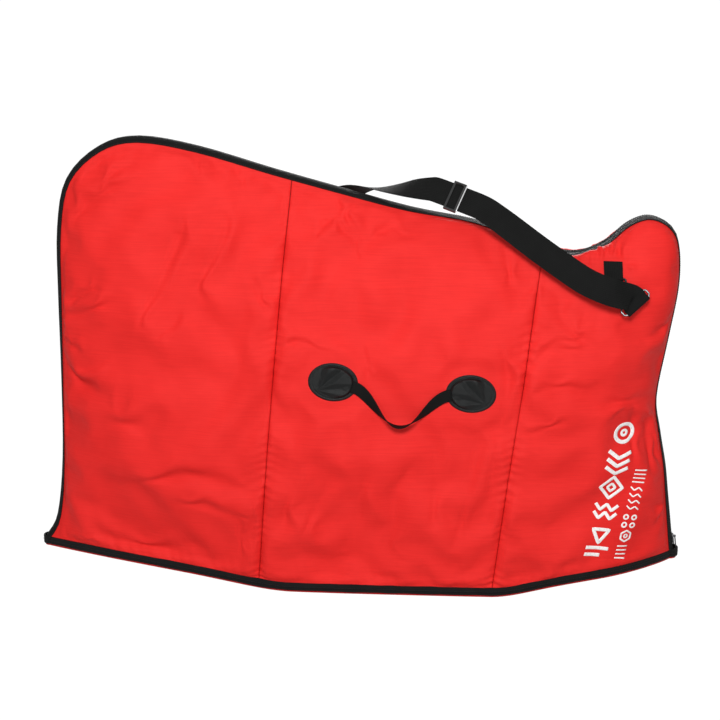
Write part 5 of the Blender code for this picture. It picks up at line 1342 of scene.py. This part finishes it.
def strap(name, first, last, nodes):
    kept = np.hstack((strap_line[first:last + 1, :3], strap_widths[first:last + 1]))
    smooth = respaced(curve(kept, len(kept) * 4), STRAP_SPACING / 3)
    made = strip(name, smooth[:, :3], smooth[:, 3:], STRAP_WIDTH, STRAP_THICKNESS)
    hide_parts(nodes)
    return made


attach(strap("strap_front_webbing", 0, arch_from, "strap_front"), "front_flap")
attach(strap("strap_back_webbing", arch_to, len(strap_line) - 1, "strap_back"), "shell")
bridge = strap("strap_bridge_webbing", arch_from, arch_to, "strap_bridge")
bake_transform(bridge)

# the adjuster's right edge carries a painted highlight: a thin bar of bright steel along it, placed by the
# three main directions of the node
plain_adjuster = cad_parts["strap_adjuster"]
adjuster = np.empty(len(plain_adjuster.data.vertices) * 3)
plain_adjuster.data.vertices.foreach_get("co", adjuster)
to_world = np.array(plain_adjuster.matrix_world)
adjuster = adjuster.reshape(-1, 3) @ to_world[:3, :3].T + to_world[:3, 3]
middle = (adjuster.max(0) + adjuster.min(0)) / 2
across_bar, along_bar, off_bar = np.linalg.svd(adjuster - middle, full_matrices=False)[2]
along_bar = along_bar * np.sign(along_bar[0])
off_bar = off_bar * np.sign(-off_bar[1])
reach, side, height = (((adjuster - middle) @ way).max() for way in (along_bar, across_bar, off_bar))
bar_way = np.linspace(-1, 1, BAR_STATIONS)[:, None]
bar = (middle + along_bar * (reach + BAR_RADIUS * BAR_OUT) + off_bar * (height - BAR_RADIUS)
       + across_bar * bar_way * side * BAR_INSET)
size = BAR_RADIUS * (1 - np.clip(np.abs(bar_way) - BAR_TAPER_FROM, 0, 1) * BAR_TAPER)
ring = ring_of(turns_of(BAR_SIDES), along_bar, off_bar)
made = tube("adjuster_bar", bar[:, None] + ring[None] * size[..., None], [GLINT_STEEL])
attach(made, "strap_adjuster")

RIGID_FINISHES = dict.fromkeys(
    ("zip_slider", "zip_pull", "front_ring", "back_ring", "front_hook", "back_hook",
     "front_gate", "back_gate", "front_hook_eye", "back_hook_eye"), BLACK_METAL)
RIGID_FINISHES["strap_adjuster"] = PLASTIC
for node, material in RIGID_FINISHES.items():
    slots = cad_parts[node].data.materials
    for index in range(len(slots)):
        slots[index] = material


# The room: a plain pale floor under a white sky, a small strong lamp above the front with soft ones
# before, above and behind the bag, and the camera.
FLOOR_SIZE = 40.0
FLOOR_GLOW, FLOOR_SEEN = 1.1, 0.93
SKY_LIGHT = 0.20
LAMP_TARGET = (0, 0, 0.4)
LAMPS = (("key_lamp", (0.0, -3.1, 2.4), 0.8, 112), ("fill_lamp", (0.3, -3.2, 0.7), 1.6, 17),
         ("top_lamp", (0.0, 0.3, 3.2), 1.6, 10), ("back_lamp", (0.6, 3.2, 1.8), 1.6, 80))
CAMERA_AZIMUTH, CAMERA_ELEVATION, CAMERA_DISTANCE = math.radians(3), math.radians(16), 3.0
CAMERA_TARGET = np.array((0, 0, 0.4305))
CAMERA_LENS, CAMERA_SHIFT = 78.95, 0.0014


def seen_in_picture(start):
    """1 for rays from the camera, off a mirror or through glass, and 0 for the others."""
    rays = start.node("LightPath").output.node.outputs
    return sum(Wire(start.tree, rays[f"Is {kind} Ray"]) for kind in ("Camera", "Glossy", "Transmission"))


floor_finish, start = finish("pale_floor", Base_Color=(0.4, 0.4, 0.4, 1), Roughness=0.8)
glow = start.node("Emission", None, {0: (1, 1, 1, 1), 1: FLOOR_GLOW})
mixed = start.node("MixShader", None, {0: seen_in_picture(start) * FLOOR_SEEN, 1: start, 2: glow})
start.tree.links.new(mixed.output, start.tree.nodes["Material Output"].inputs["Surface"])
corners = np.array(((-1, -1, 0), (1, -1, 0), (1, 1, 0), (-1, 1, 0))) * FLOOR_SIZE / 2
floor = surface("floor", corners, [[0, 1, 2, 3]], [floor_finish], smooth=False)

world = bpy.data.worlds.new("studio")
bpy.context.scene.world = world
world.use_nodes = True
sky = Wire(world.node_tree, world.node_tree.nodes["Background"].outputs[0])
feed(sky, "Strength", seen_in_picture(sky) * (1 - SKY_LIGHT) + SKY_LIGHT)
sky.output.node.inputs["Color"].default_value = (1, 1, 1, 1)


def aim(made, place, target):
    """Put an object at a place, looking at a target with its -Z axis."""
    back = unit(np.subtract(place, target))
    right = unit(np.cross((0, 0, 1), back))
    turn = np.eye(4)
    turn[:3] = np.stack((right, np.cross(back, right), back, place), -1)
    made.matrix_world = Matrix(turn)


for name, place, size, power in LAMPS:
    light = bpy.data.lights.new(name, "AREA")
    light.shape, light.size, light.energy = "SQUARE", size, power
    lamp = bpy.data.objects.new(name, light)
    bpy.context.collection.objects.link(lamp)
    aim(lamp, place, LAMP_TARGET)

camera = bpy.data.objects.new("camera", bpy.data.cameras.new("camera"))
bpy.context.collection.objects.link(camera)
camera.data.lens = CAMERA_LENS
camera.data.shift_x = -CAMERA_SHIFT
back = np.array((math.sin(CAMERA_AZIMUTH) * math.cos(CAMERA_ELEVATION),
                 -math.cos(CAMERA_AZIMUTH) * math.cos(CAMERA_ELEVATION), math.sin(CAMERA_ELEVATION)))
aim(camera, CAMERA_TARGET + back * CAMERA_DISTANCE, CAMERA_TARGET)
bpy.context.scene.camera = camera
bpy.context.scene.view_settings.view_transform = "Standard"
